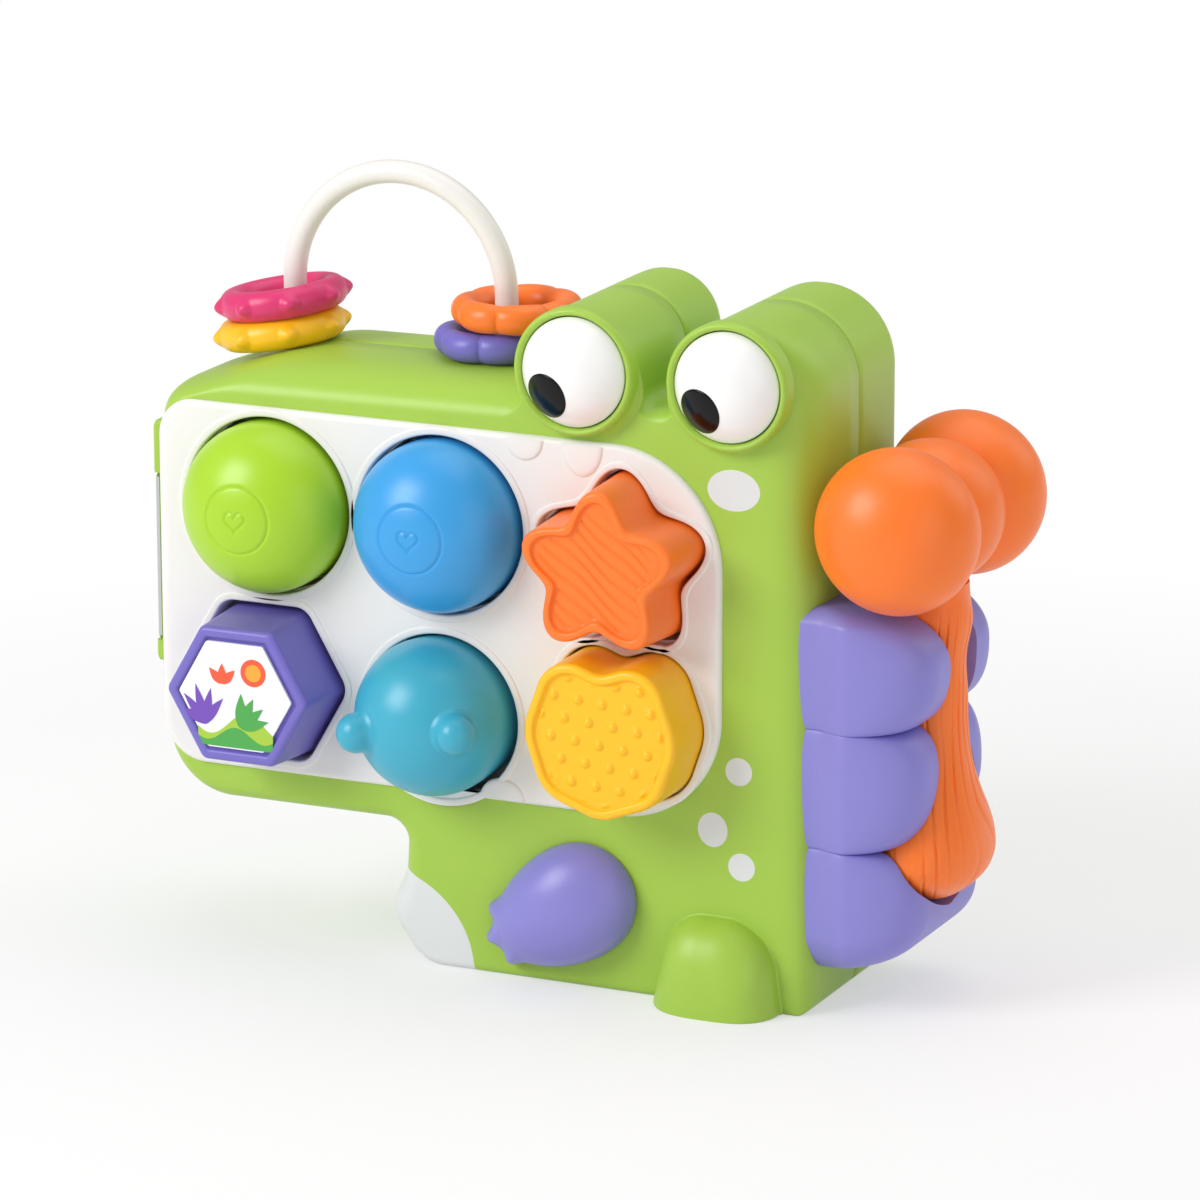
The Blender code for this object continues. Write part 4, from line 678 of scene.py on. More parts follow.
def nub_rows(xz):
    """Round nubs in staggered rows that run down a little to the right: a soft cap at each lattice place."""
    pitch_x, pitch_z = 0.0077, 0.0062
    x = (xz[..., 0] - HEART[0]) * 0.997 - (xz[..., 1] - HEART[1]) * 0.083
    z = (xz[..., 0] - HEART[0]) * 0.083 + (xz[..., 1] - HEART[1]) * 0.997
    row = np.round(z / pitch_z)
    x = x - (row % 2) * pitch_x / 2
    gap = np.hypot((x / pitch_x - np.round(x / pitch_x)) * pitch_x, z - row * pitch_z)
    return 0.001 * np.clip(1 - (gap / 0.0017) ** 2, 0, 1)


class SORTER_OT_flat_blocks(bpy.types.Operator):
    """The star and heart blocks, and the hexagon block with its printed picture"""
    bl_idname = "sorter.flat_blocks"
    bl_label = "Flat blocks"

    def execute(self, context):
        colours = context.scene.sorter_colours
        orange = plastic("orange_plastic", colours.orange, 0.4, 0.04)
        form = Form()
        flat_block(form, star_shape, STAR, FLAT_RIM, wavy_grooves, 120, lean=(0.0009, 0.0008))
        piece("star", form, "star", "orange", orange, ("star_block",))
        form = Form()
        flat_block(form, heart_shape, HEART, 0.003, nub_rows, 160, 0.0003, 0.0006, (0.0004, 0.0002))
        yellow = plastic("yellow_plastic", colours.yellow, 0.4, 0.05)
        piece("heart", form, "heart", "yellow", yellow, ("heart_block",))
        form = Form()
        flat_block(form, hexagon_shape, HEXAGON, FLAT_RIM, no_relief, 20, lean=(0.0005, 0.0))
        violet = plastic("violet_plastic", colours.violet, 0.38, 0.05)
        piece("hexagon", form, "hexagon", "violet", violet, ("hexagon_block",))
        picture = frame["nodes"]["hexagon_picture"]
        dress(picture, plastic("picture_card", (0.95, 0.95, 0.97), 0.5, 0.02))
        print_motifs()
        return {"FINISHED"}


def leaf(length, width, bend, steps=26):
    """A leaf's outline: the width swells and closes along a bent spine."""
    share = np.linspace(0, 1, steps)
    half = width / 2 * np.sin(np.pi * share ** 0.8)
    spine_x, spine_z = bend * share ** 2, length * share
    left = np.stack([spine_x - half, spine_z], -1)
    right = np.stack([spine_x + half, spine_z], -1)[::-1][1:-1]
    return np.concatenate([left, right])


def turned_flat(outline, angle, x, z):
    """An outline turned about its start and moved to a place."""
    cos, sin = math.cos(angle), math.sin(angle)
    spots = np.stack([outline[:, 0] * cos - outline[:, 1] * sin, outline[:, 0] * sin + outline[:, 1] * cos], -1)
    return spots + np.array([x, z])


def print_motifs():
    """The picture of hills, leaves and a sun, as thin printed shapes on the card."""
    card_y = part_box("hexagon_picture")[0][1]
    cx, cz = HEXAGON
    shapes = []
    hills = np.linspace(-0.0125, 0.0125, 40)
    low = np.stack([hills[::-1], np.full(40, -0.0158)], -1)
    hill = np.stack([hills, -0.0085 + 0.0035 * np.sin(hills * 260 + 0.6)], -1)
    shapes.append(("green_ink", np.concatenate([hill, low]) + np.array(HEXAGON), 0))
    hill = np.stack([hills, -0.0118 + 0.0022 * np.cos(hills * 330)], -1)
    shapes.append(("leaf_ink", np.concatenate([hill, low]) + np.array(HEXAGON), 1))
    shapes.append(("sun_ink", circle(0.0042, 40, cx + 0.0062, cz + 0.0078), 0))
    shapes.append(("glow_ink", circle(0.0026, 36, cx + 0.0062, cz + 0.0078), 1))
    for k in range(5):
        outline = leaf(0.0125 - abs(k - 2) * 0.0012, 0.0029, 0.001 * (k - 2))
        shapes.append(("violet_ink", turned_flat(outline, 0.95 - 0.34 * k, cx - 0.0098, cz - 0.0095), 2))
    for k in range(4):
        outline = leaf(0.0100, 0.0034, -0.0012)
        shapes.append(("leaf_ink", turned_flat(outline, -0.2 - 0.42 * k, cx + 0.0012, cz - 0.0090), 3))
    for k in range(3):
        outline = leaf(0.0062, 0.0027, 0.0)
        shapes.append(("sun_ink", turned_flat(outline, 0.75 - 0.75 * k, cx - 0.0042, cz + 0.0035), 2))
    inks = {
        "green_ink": (0.66, 0.80, 0.25), "leaf_ink": (0.30, 0.66, 0.30), "sun_ink": (0.95, 0.36, 0.22),
        "glow_ink": (1.0, 0.66, 0.20), "violet_ink": (0.46, 0.30, 0.72),
    }
    for ink, colour in inks.items():
        form = Form()
        for number, (name, outline, layer) in enumerate(shapes):
            if name == ink:
                y = card_y - 0.00003 - 0.00004 * layer - 0.000006 * number
                form.cap([at_y(outline, y)])
                form.grid(stack([outline, outline], [y, card_y + 0.00001]))
        piece("print_" + ink, form, "hexagon", "white", plastic(ink, colour, 0.45, 0.02))


def knobs(form, centre, block_r, tip_y, height):
    """Two knobs on the ball: each a stem with a hollow foot that ends in a ball, along the dome's normal."""
    for x_share, z_share in ((-0.65, -0.09), (0.65, 0.04)):
        sink = math.sqrt(1 - x_share ** 2 - z_share ** 2)
        foot_at = np.array([
            centre[0] + block_r * x_share, tip_y + height - height * sink, centre[1] + block_r * z_share,
        ])
        normal = np.array([x_share / block_r, -sink / height, z_share / block_r])
        normal /= np.linalg.norm(normal)
        side = np.cross(normal, [0, 0, 1.0])
        side /= np.linalg.norm(side)
        other = np.cross(normal, side)
        profile = [(-0.002, 0.0082), (-0.0009, 0.0071), (-0.0002, 0.0064), (0.0006, 0.0061), (0.0014, 0.006)]
        profile += [(0.0014 + 0.0059 * math.sin(a), max(0.006 * math.cos(a), 0.00003))
                    for a in quarter(20)[1:]]
        turn = 2 * np.pi * np.arange(72) / 72
        around = side * np.cos(turn)[:, None] + other * np.sin(turn)[:, None]
        rows = np.array([foot_at + normal * out + around * radius for out, radius in profile])
        form.grid(rows)
        form.cap([rows[-1]])


class SORTER_OT_ball_block(bpy.types.Operator):
    """The teal ball block with its two knobs"""
    bl_idname = "sorter.ball_block"
    bl_label = "Ball block"

    def execute(self, context):
        teal = plastic("teal_plastic", context.scene.sorter_colours.teal, 0.34, 0.05)
        centre = (BALL[0] - 0.0011, BALL[1] + 0.0006)
        back = round_shape((BALL[0] - 0.0006, BALL[1] + 0.0003), 0.0228, 240)
        dome_block("teal_ball", "ball", "teal", teal, centre, BALL_HOLE_R, BALL_FRONT_Y, 0.0237, no_relief,
                   ("ball_block",), knobs, back)
        return {"FINISHED"}


# Eyes

class SORTER_OT_eyes(bpy.types.Operator):
    """Both eyeballs with their pupils"""
    bl_idname = "sorter.eyes"
    bl_label = "Eyes"

    def execute(self, context):
        white = plastic("eye_white", context.scene.sorter_colours.white, 0.22, 0.02)
        black = gloss_black()
        ball_r, dome_h, base_y = 0.0162, 0.009, -0.038
        sphere_r = (ball_r ** 2 + dome_h ** 2) / (2 * dome_h)
        sphere_y = base_y - dome_h + sphere_r
        for side, x in EYE_X.items():
            radii = ball_r * np.sin(np.linspace(0.004, np.pi / 2, 30))
            profile = [(sphere_y - math.sqrt(sphere_r ** 2 - r * r), r) for r in radii]
            profile += [(base_y + 0.0004, ball_r), (base_y + 0.0045, ball_r), (base_y + 0.005, ball_r - 0.0005)]
            rows = turned(profile, 110, x, EYE_Z)
            form = Form()
            form.closed(rows)
            piece(side + "_ball", form, side + "_eye", "eye_white", white, (side + "_eyeball",))
            pupil_x, pupil_z = x + PUPIL_SHIFT[0], EYE_Z + PUPIL_SHIFT[1]
            form = Form()
            rows = []
            for share, rise in ((1.0, -0.0006), (1.0, 0.00005), (0.985, 0.0002), (0.95, 0.0003), (0.85, 0.00036),
                                (0.6, 0.00042), (0.3, 0.00045), (0.01, 0.00045)):
                ring = circle(PUPIL_R * share, 72, pupil_x, pupil_z)
                away = (ring[:, 0] - x) ** 2 + (ring[:, 1] - EYE_Z) ** 2
                y = sphere_y - np.sqrt((sphere_r + rise) ** 2 - away)
                rows.append(np.stack([ring[:, 0], y, ring[:, 1]], -1))
            form.grid(np.array(rows))
            form.cap([rows[-1]])
            form.cap([rows[0]])
            piece(side + "_pupil_dot", form, side + "_eye", "black", black, (side + "_pupil",), 60)
        return {"FINISHED"}


# Handle and rings

class SORTER_OT_arch_handle(bpy.types.Operator):
    """The white arch handle"""
    bl_idname = "sorter.arch_handle"
    bl_label = "Arch handle"

    def execute(self, context):
        rod_r = 0.0035
        rows = []
        turn = 2 * np.pi * np.arange(40) / 40
        for radius, z in (
            (0.0055, 0.1687), (0.006, 0.1690), (0.006, 0.1703), (rod_r, 0.1705), (rod_r, 0.18), (rod_r, 0.19),
        ):
            x = ARCH_X - ARCH_R + radius * np.cos(turn)
            rows.append(np.stack([x, SEAM_Y + radius * np.sin(turn), np.full(40, z)], -1))
        legs = np.array(rows)
        angle = np.pi * (1 - np.linspace(0, 1, 49))[:, None]
        reach = ARCH_R - rod_r * np.cos(turn)[None, :]
        arc = np.stack([
            ARCH_X + reach * np.cos(angle), np.broadcast_to(SEAM_Y + rod_r * np.sin(turn), reach.shape) + 0 * angle,
            ARCH_Z + reach * np.sin(angle),
        ], -1)
        other = legs[::-1].copy()
        other[..., 0] = 2 * ARCH_X - other[..., 0]
        rows = np.concatenate([legs, arc, other])
        form = Form()
        form.closed(rows)
        white = plastic("handle_plastic", context.scene.sorter_colours.handle, 0.3, 0.03)
        piece("arch", form, "body", "white", white, ("arch_handle",))
        return {"FINISHED"}


def ring_rows(box, shift, tilt, swell, steps=240, sides=40):
    """A soft ring about an upright axis, tilted: its outer side swells with the angle and the height."""
    low, high = box
    middle = (np.array(low) + np.array(high)) / 2 + np.array([shift, 0.0, 0.0])
    angle = 2 * np.pi * np.arange(steps) / steps
    turn = 2 * np.pi * np.arange(sides)[:, None] / sides
    side, rise = np.cos(turn), RING_RISE * np.sin(turn)
    outward = np.clip(np.cos(turn), 0, 1)
    bulge, squeeze = swell(angle[None, :], outward, rise)
    reach = RING_R + RING_REACH * side + bulge
    rise = rise * squeeze
    along, across = reach * np.cos(angle), reach * np.sin(angle)
    cos, sin = math.cos(tilt), math.sin(tilt)
    return np.stack([middle[0] + along * cos - rise * sin, SEAM_Y + across, middle[2] + along * sin + rise * cos], -1)


def nubs(angle, outward, rise):
    """Eight small round nubs on the rim: a soft cap of the distance along and across the rim."""
    step = 2 * np.pi / 8
    along = (((angle + 0.2) / step + 0.5) % 1.0 - 0.5) * step * 0.0195
    gap = np.sqrt(along ** 2 + rise ** 2)
    return outward * 0.0018 * np.clip(1 - (gap / 0.0033) ** 2, 0, 1) ** 1.4 - 0.0004 * outward, 1.0


def lobes(angle, outward, rise):
    """Seven wide lobes with a crease between them, a little lower at the crease."""
    swing = np.abs(np.cos(3.5 * (angle + 0.15))) ** 0.45
    return -0.0021 * (1 - swing) * (0.25 + 0.75 * outward), 0.86 + 0.14 * swing


class SORTER_OT_rings(bpy.types.Operator):
    """The four rings on the handle"""
    bl_idname = "sorter.rings"
    bl_label = "Rings"

    def execute(self, context):
        colours = context.scene.sorter_colours
        for key, colour, shift, tilt, swell in (
            ("yellow", colours.yellow, -0.0003, math.radians(9.5), nubs),
            ("magenta", colours.magenta, 0.0, math.radians(9.5), nubs),
            ("purple", colours.ring_purple, 0.0, 0.0119, lobes),
            ("orange", colours.orange, 0.0015, 0.0119, lobes),
        ):
            form = Form()
            form.grid(ring_rows(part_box(key + "_ring"), shift, tilt, swell), open_rows=False)
            finish = plastic(key + "_ring_plastic", colour, 0.36, 0.05)
            piece(key + "_hoop", form, key + "_ring", key, finish, (key + "_ring",), 70)
        return {"FINISHED"}


# Back bumps

def fan_share(z):
    """How much of the fan's extra size the hammer's handle has at a height: a bell curve about the fan."""
    spread = np.where(z < 0.046, 0.015, 0.0245)
    return np.exp(-((z - 0.046) / spread) ** 2 * 1.4)


def handle_end(z, run):
    """How the handle closes at its lower end: a quarter circle over a run of height."""
    close = np.clip((z - HANDLE_BOTTOM) / run, 0, 1)
    return np.maximum(np.sqrt(1 - (1 - close) ** 2), 0.02)


def handle_reach(z):
    """The handle's half sizes at a height: a round waist, a knee under the head and a fan at the closed end."""
    end, fan = handle_end(z, 0.0098), fan_share(z)
    knee = 0.0011 * np.exp(-((z - 0.1155) / 0.006) ** 2) - 0.0006 * np.exp(-((z - 0.103) / 0.007) ** 2)
    return (0.0098 + knee + 0.0042 * fan) * end, (0.0098 + knee + 0.0147 * fan) * end


def bump_rows(lobe):
    """One lobe pair: at every height a pillow mirrored about the middle, with a groove where the handle lies.

    The pillow stands out by its lobe's rounded-square swell, drawn in to a valley between lobes. Its outer side
    is a quarter superellipse that tucks in a little where it meets the housing. Columns follow the groove's edge.
    """
    low, high, out_full, floor_low, floor_high = lobe
    levels = low + (high - low) * (1 - np.cos(np.linspace(0, np.pi, 60))) / 2
    angle = quarter(60)
    rows = []
    for z in levels:
        place = (z - (low + high) / 2) / ((high - low) / 2)
        swell = (1 - min(abs(place), 1.0) ** 2.3) ** (1 / 2.3)
        floor = floor_low if place < 0 else floor_high
        out = max(floor + (out_full - floor) * swell, 0.0008)
        tuck = 1.0
        if floor == 0.0:
            least, full_at = (0.45, 0.92) if place < 0 else (0.62, 0.7)
            tuck = least + (1 - least) * min(1.0, swell / full_at)
        height = out * np.sin(angle) ** 0.8
        edge = 0.0298 + 0.0015 * swell + (0.0045 - 0.0015 * swell) * smooth(height / 0.012)
        y = 0.016 + (edge - 0.016) * tuck * np.cos(angle) ** 0.75
        room, near = 0.0012, out
        if z > HANDLE_BOTTOM - GROOVE_GAP:
            deep, wide = handle_reach(z + GROOVE_GAP)
            room, near = float(wide) + GROOVE_GAP, HAMMER_X - BODY_RIGHT - GROOVE_GAP - float(deep)
        curve_y, curve_h = np.concatenate([y, [0.0]]), np.concatenate([height, [out]])
        way = np.concatenate([[0], np.cumsum(np.hypot(np.diff(curve_y), np.diff(curve_h)))])
        inner = curve_y[np.argmax(height > out * 0.2):]
        stop = np.interp(-room, -inner, way[len(way) - len(inner):])
        places = np.linspace(0, stop, 72)
        side_y, side_h = np.interp(places, way, curve_y), np.interp(places, way, curve_h)
        step_h = np.linspace(side_h[-1], min(near, side_h[-1]), 6)[1:]
        step_y = room - 0.0004 * np.linspace(0, 1, 6)[1:] ** 2
        bed_y = np.linspace(room - 0.0004, 0, 16)[1:]
        ys = np.concatenate([side_y, step_y, bed_y])
        xs = np.concatenate([side_h, step_h, np.full(15, step_h[-1])])
        xs = BODY_RIGHT + np.concatenate([[-BUMP_SINK], xs, xs[::-1][1:], [-BUMP_SINK]])
        ys = np.concatenate([[-ys[0]], -ys, ys[::-1][1:], [ys[0]]])
        rows.append(np.stack([xs, ys, np.full(len(xs), z)], -1))
    return np.array(rows)


class SORTER_OT_back_bumps(bpy.types.Operator):
    """The purple bumps on the back"""
    bl_idname = "sorter.back_bumps"
    bl_label = "Back bumps"

    def execute(self, context):
        form = Form()
        for number, lobe in enumerate(BUMP_LOBES):
            rows = bump_rows(lobe)
            form.grid(rows)
            if number == 0:
                form.cap([rows[0]])
            if number == 2:
                form.cap([rows[-1]])
        finish = plastic("purple_plastic", context.scene.sorter_colours.purple, 0.42, 0.05)
        piece("bumps", form, "body", "purple", finish, ("back_bumps",), 60)
        return {"FINISHED"}


# Hammer

def head_rows():
    """Two flattened balls joined by a round middle: the radius is the largest of the three at every depth."""
    reach = 0.0465
    share = np.sin(np.linspace(-np.pi / 2 + 0.02, np.pi / 2 - 0.02, 181))
    y = reach * share
    radius = np.sqrt(np.clip(0.0213 ** 2 - y * y, 0, None))
    for ball_y in (-0.026, 0.026):
        radius = np.maximum(radius, 0.0243 * np.sqrt(np.clip(1 - ((y - ball_y) / 0.0205) ** 2, 0, None)))
    lean_x, lean_y, lean_z = HEAD_LEAN
    profile = list(zip(y + lean_y, np.maximum(radius, 0.0002)))
    return turned(profile, 120, HAMMER_X + lean_x, HAMMER_Z + lean_z)


def handle_rows():
    """The handle: a rounded oval at every height, carved with grain lines that spread out with the fan.

    A grain line keeps its share of the way round, so it flows with the outline, and its depth fades in and out
    along the height.
    """
    share = np.linspace(0, 1, 150)
    z = HANDLE_BOTTOM + (HANDLE_TOP - HANDLE_BOTTOM) * (1 - np.cos(np.pi * share)) / 2
    end, fan = handle_end(z, 0.0098), fan_share(z)
    half_x, half_y = [size[:, None] for size in handle_reach(z)]
    steps = 360
    turn = (2 * np.pi * np.arange(steps) / steps)[None, :]
    cos, sin = np.cos(turn), np.sin(turn)
    power = 2 / 2.2
    wander = 0.5 * np.sin(z * 75 + 1.3)[:, None] + 0.14 * np.sin(z * 230)[:, None]
    place = turn / (2 * np.pi) * 22 + wander * (1 + 0.7 * np.sin(3 * turn))
    gap = np.abs((place + 0.5) % 1.0 - 0.5)
    fade = 0.55 + 0.45 * np.sin(5 * np.floor(place + 0.5) + z[:, None] * 120)
    knee = smooth((0.1225 - z) / 0.012)[:, None] * smooth(end / 0.8)[:, None]
    cut = 0.0007 * np.exp(-(gap / 0.1) ** 2) * np.clip(fade, 0, 1) * knee
    outer = half_x + np.where(cos > 0, 0.003, 0.0) * (fan * end)[:, None]
    x = HAMMER_X + (outer - cut) * np.sign(cos) * np.abs(cos) ** power
    y = (half_y - cut) * np.sign(sin) * np.abs(sin) ** power
    return np.stack([x, y, np.broadcast_to(z[:, None], x.shape)], -1)


class SORTER_OT_hammer(bpy.types.Operator):
    """The orange hammer: its double-ball head and its grained handle"""
    bl_idname = "sorter.hammer"
    bl_label = "Hammer"

    def execute(self, context):
        finish = plastic("hammer_plastic", context.scene.sorter_colours.orange, 0.38, 0.05)
        form = Form()
        rows = head_rows()
        form.closed(rows)
        piece("hammer_balls", form, "hammer", "orange", finish, ("hammer_head",), 60)
        form = Form()
        rows = handle_rows()
        form.closed(rows)
        piece("hammer_grip", form, "hammer", "orange", finish, ("hammer_handle",), 70)
        return {"FINISHED"}


# Paw

class SORTER_OT_paw(bpy.types.Operator):
    """The purple paw with its toes"""
    bl_idname = "sorter.paw"
    bl_label = "Paw"

    def execute(self, context):
        def edge(turn):
            """A point on the paw's edge: an egg, fat end to the right and raised."""
            along = 0.0245 * np.cos(turn)
            across = 0.0174 * np.sin(turn) * (1 + 0.17 * np.cos(turn))
            cos, sin = math.cos(PAW_TURN), math.sin(PAW_TURN)
            spot = np.stack([PAW[0] + along * cos - across * sin, PAW[1] + along * sin + across * cos], -1)
            return spot + np.array(PAW_LEAN)

        outline = edge(2 * np.pi * np.arange(240) / 240)
        base_y = FRONT_Y - 0.0003
        middle = np.array(PAW) + np.array(PAW_LEAN)
        gaps = [np.linalg.norm(outline - edge(turn), axis=1) for turn in np.radians(PAW_TOES)]
        toes = sum(np.exp(-(gap / 0.0026) ** 2) for gap in gaps)[:, None]
        foot_edge = outline + (outline - middle) * toes * 0.06
        rows = [at_y(middle + (outline - middle) * 0.97, base_y), at_y(foot_edge, base_y - 0.0004)]
        for angle in quarter(40)[1:]:
            scale = max(math.cos(angle), 0.002)
            low = math.cos(min(angle * 2.2, np.pi / 2)) ** 0.7
            loop = middle + (outline - middle) * (scale + 0.13 * toes * low)
            rows.append(at_y(loop, base_y - 0.0004 - 0.0142 * math.sin(angle)))
        form = Form()
        form.closed(rows)
        finish = plastic("paw_plastic", context.scene.sorter_colours.purple, 0.36, 0.05)
        piece("paw_pad", form, "paw", "purple", finish, ("paw",), 50)
        return {"FINISHED"}


# Finishes

PLASTIC_BUMP = 0.18
# The printed spots and the belly patch: centre x and z, half width and half height
PRINTED_OVALS = (
    (0.0347, 0.156, 0.0082, 0.0061), (0.0366, 0.0723, 0.0042, 0.0042), (0.0284, 0.0538, 0.0047, 0.0052),
    (0.0376, 0.0435, 0.0042, 0.0042), (-0.082, 0.0, 0.033, 0.030),
)


def group_socket(group, name, way, kind, value=None):
    """Add a named socket to a shader group, with its default."""
    socket = group.interface.new_socket(name=name, in_out=way, socket_type=kind)
    if value is not None:
        socket.default_value = value
    return socket


def calculator(nodes, links):
    """A function that adds one Math node, fed by a socket or a number on each side."""
    def calc(operation, first, second=None):
        node = nodes.new("ShaderNodeMath")
        node.operation = operation
        for index, value in enumerate((first, second)):
            if isinstance(value, (int, float)):
                node.inputs[index].default_value = value
            elif value is not None:
                links.new(value, node.inputs[index])
        return node.outputs[0]
    return calc


def moulded_skin():
    """The skin of a moulded plastic piece: faint clouds in its colour and gloss, and a fine grain."""
    found = bpy.data.node_groups.get("moulded skin")
    if found:
        return found
    group = bpy.data.node_groups.new("moulded skin", "ShaderNodeTree")
    group_socket(group, "Colour", "INPUT", "NodeSocketColor", (0.5, 0.5, 0.5, 1))
    for name, value in (("Cloudiness", 0.04), ("Roughness", 0.4), ("Grain scale", 1600.0)):
        group_socket(group, name, "INPUT", "NodeSocketFloat", value)
    group_socket(group, "Colour", "OUTPUT", "NodeSocketColor")
    for name in ("Roughness", "Height"):
        group_socket(group, name, "OUTPUT", "NodeSocketFloat")
    nodes, links = group.nodes, group.links
    calc = calculator(nodes, links)
    inside, outside = nodes.new("NodeGroupInput"), nodes.new("NodeGroupOutput")
    place = nodes.new("ShaderNodeTexCoord")
    clouds = nodes.new("ShaderNodeTexNoise")
    clouds.inputs["Scale"].default_value = 22.0
    clouds.inputs["Detail"].default_value = 3.0
    links.new(place.outputs["Object"], clouds.inputs["Vector"])
    grain = nodes.new("ShaderNodeTexNoise")
    grain.inputs["Detail"].default_value = 2.0
    links.new(place.outputs["Object"], grain.inputs["Vector"])
    links.new(inside.outputs["Grain scale"], grain.inputs["Scale"])
    swing = calc("SUBTRACT", clouds.outputs["Fac"], 0.5)
    swing = calc("MULTIPLY", swing, inside.outputs["Cloudiness"])
    bright = calc("ADD", swing, 1.0)
    shade = nodes.new("ShaderNodeHueSaturation")
    links.new(inside.outputs["Colour"], shade.inputs["Color"])
    links.new(bright, shade.inputs["Value"])
    links.new(shade.outputs["Color"], outside.inputs["Colour"])
    rough = calc("MULTIPLY", calc("SUBTRACT", grain.outputs["Fac"], 0.5), 0.12)
    rough = calc("ADD", rough, inside.outputs["Roughness"])
    rough = calc("ADD", rough, calc("MULTIPLY", swing, 0.8))
    links.new(rough, outside.inputs["Roughness"])
    links.new(grain.outputs["Fac"], outside.inputs["Height"])
    return group


def printed_oval():
    """A mask for a printed oval on the front: 1 inside, with a soft edge, and nothing behind the seam."""
    found = bpy.data.node_groups.get("printed oval")
    if found:
        return found
    group = bpy.data.node_groups.new("printed oval", "ShaderNodeTree")
    for name, value in (
        ("Centre X", 0.0), ("Centre Z", 0.0), ("Half width", 0.01), ("Half height", 0.01), ("Edge", 0.0002),
    ):
        group_socket(group, name, "INPUT", "NodeSocketFloat", value)
    group_socket(group, "Mask", "OUTPUT", "NodeSocketFloat")
    nodes, links = group.nodes, group.links
    calc = calculator(nodes, links)
    inside, outside = nodes.new("NodeGroupInput"), nodes.new("NodeGroupOutput")
    place = nodes.new("ShaderNodeTexCoord")
    parts = nodes.new("ShaderNodeSeparateXYZ")
    links.new(place.outputs["Object"], parts.inputs[0])
    x = calc("SUBTRACT", parts.outputs["X"], inside.outputs["Centre X"])
    x = calc("DIVIDE", x, inside.outputs["Half width"])
    z = calc("SUBTRACT", parts.outputs["Z"], inside.outputs["Centre Z"])
    z = calc("DIVIDE", z, inside.outputs["Half height"])
    far = calc("SQRT", calc("ADD", calc("MULTIPLY", x, x), calc("MULTIPLY", z, z)))
    gap = calc("MULTIPLY", calc("SUBTRACT", 1.0, far), inside.outputs["Half height"])
    mask = calc("DIVIDE", gap, inside.outputs["Edge"])
    mask = calc("ADD", mask, 0.5)
    mask = calc("MINIMUM", calc("MAXIMUM", mask, 0.0), 1.0)
    front = calc("LESS_THAN", parts.outputs["Y"], -0.012)
    links.new(calc("MULTIPLY", mask, front), outside.inputs["Mask"])
    return group


def new_material(name):
    """A fresh material with its Principled shader."""
    made = bpy.data.materials.new(name)
    made.use_nodes = True
    return made, made.node_tree.nodes, made.node_tree.links, made.node_tree.nodes["Principled BSDF"]


def skin_node(nodes, colour, cloudiness, roughness):
    """A moulded skin group with its settings."""
    skin = nodes.new("ShaderNodeGroup")
    skin.node_tree = moulded_skin()
    for key, value in (("Colour", colour), ("Cloudiness", cloudiness), ("Roughness", roughness)):
        skin.inputs[key].default_value = value
    return skin


def dress_shader(nodes, links, shader, skin, bump):
    """Wire a skin group into the shader's colour, gloss and fine bump."""
    links.new(skin.outputs["Roughness"], shader.inputs["Roughness"])
    relief = nodes.new("ShaderNodeBump")
    relief.inputs["Strength"].default_value = bump
    relief.inputs["Distance"].default_value = 0.00005
    links.new(skin.outputs["Height"], relief.inputs["Height"])
    links.new(relief.outputs["Normal"], shader.inputs["Normal"])


def skinned(name, colour, cloudiness, roughness, bump):
    """A fresh material whose colour, gloss and bump come from the moulded skin, with its shader and skin."""
    made, nodes, links, shader = new_material(name)
    skin = skin_node(nodes, colour, cloudiness, roughness)
    links.new(skin.outputs["Colour"], shader.inputs["Base Color"])
    dress_shader(nodes, links, shader, skin, bump)
    return made, shader, skin


def plastic(name, colour, roughness, cloudiness):
    """A moulded plastic in a colour, made once for each name."""
    found = bpy.data.materials.get(name)
    return found or skinned(name, srgb(colour), cloudiness, roughness, PLASTIC_BUMP)[0]


def housing_finish(colours):
    """The green plastic of the housing with its printed spots and belly patch."""
    found = bpy.data.materials.get("green_plastic")
    if found:
        return found
    made, nodes, links, shader = new_material("green_plastic")
    calc = calculator(nodes, links)
    skin = skin_node(nodes, srgb(colours.green), 0.05, 0.4)
    total = None
    for oval in PRINTED_OVALS:
        spot = nodes.new("ShaderNodeGroup")
        spot.node_tree = printed_oval()
        for key, value in zip(("Centre X", "Centre Z", "Half width", "Half height"), oval):
            spot.inputs[key].default_value = value
        spot.inputs["Edge"].default_value = 0.0002
        mask = spot.outputs["Mask"]
        total = mask if total is None else calc("MAXIMUM", total, mask)
    mix = nodes.new("ShaderNodeMix")
    mix.data_type = "RGBA"
    links.new(total, mix.inputs[0])
    links.new(skin.outputs["Colour"], mix.inputs[6])
    mix.inputs[7].default_value = srgb(colours.print_grey)
    links.new(mix.outputs[2], shader.inputs["Base Color"])
    dress_shader(nodes, links, shader, skin, PLASTIC_BUMP)
    return made


def gloss_black():
    """The pupils' polished black, with a faint swing in its gloss."""
    made, shader, skin = skinned("pupil_black", (0.002, 0.002, 0.002, 1), 0.02, 0.2, 0.03)
    shader.inputs["Specular IOR Level"].default_value = 0.25
    return made


def metal(name, colour, roughness, grain):
    """A bare metal or mirror whose gloss swings faintly."""
    made, shader, skin = skinned(name, srgb(colour), 0.05, roughness, 0.1)
    skin.inputs["Grain scale"].default_value = grain
    shader.inputs["Metallic"].default_value = 1.0
    return made


def dress(node, finish):
    """Give a carried-over CAD node its finish."""
    if not node.material_slots:
        node.data.materials.append(finish)
    for slot in node.material_slots:
        slot.material = finish


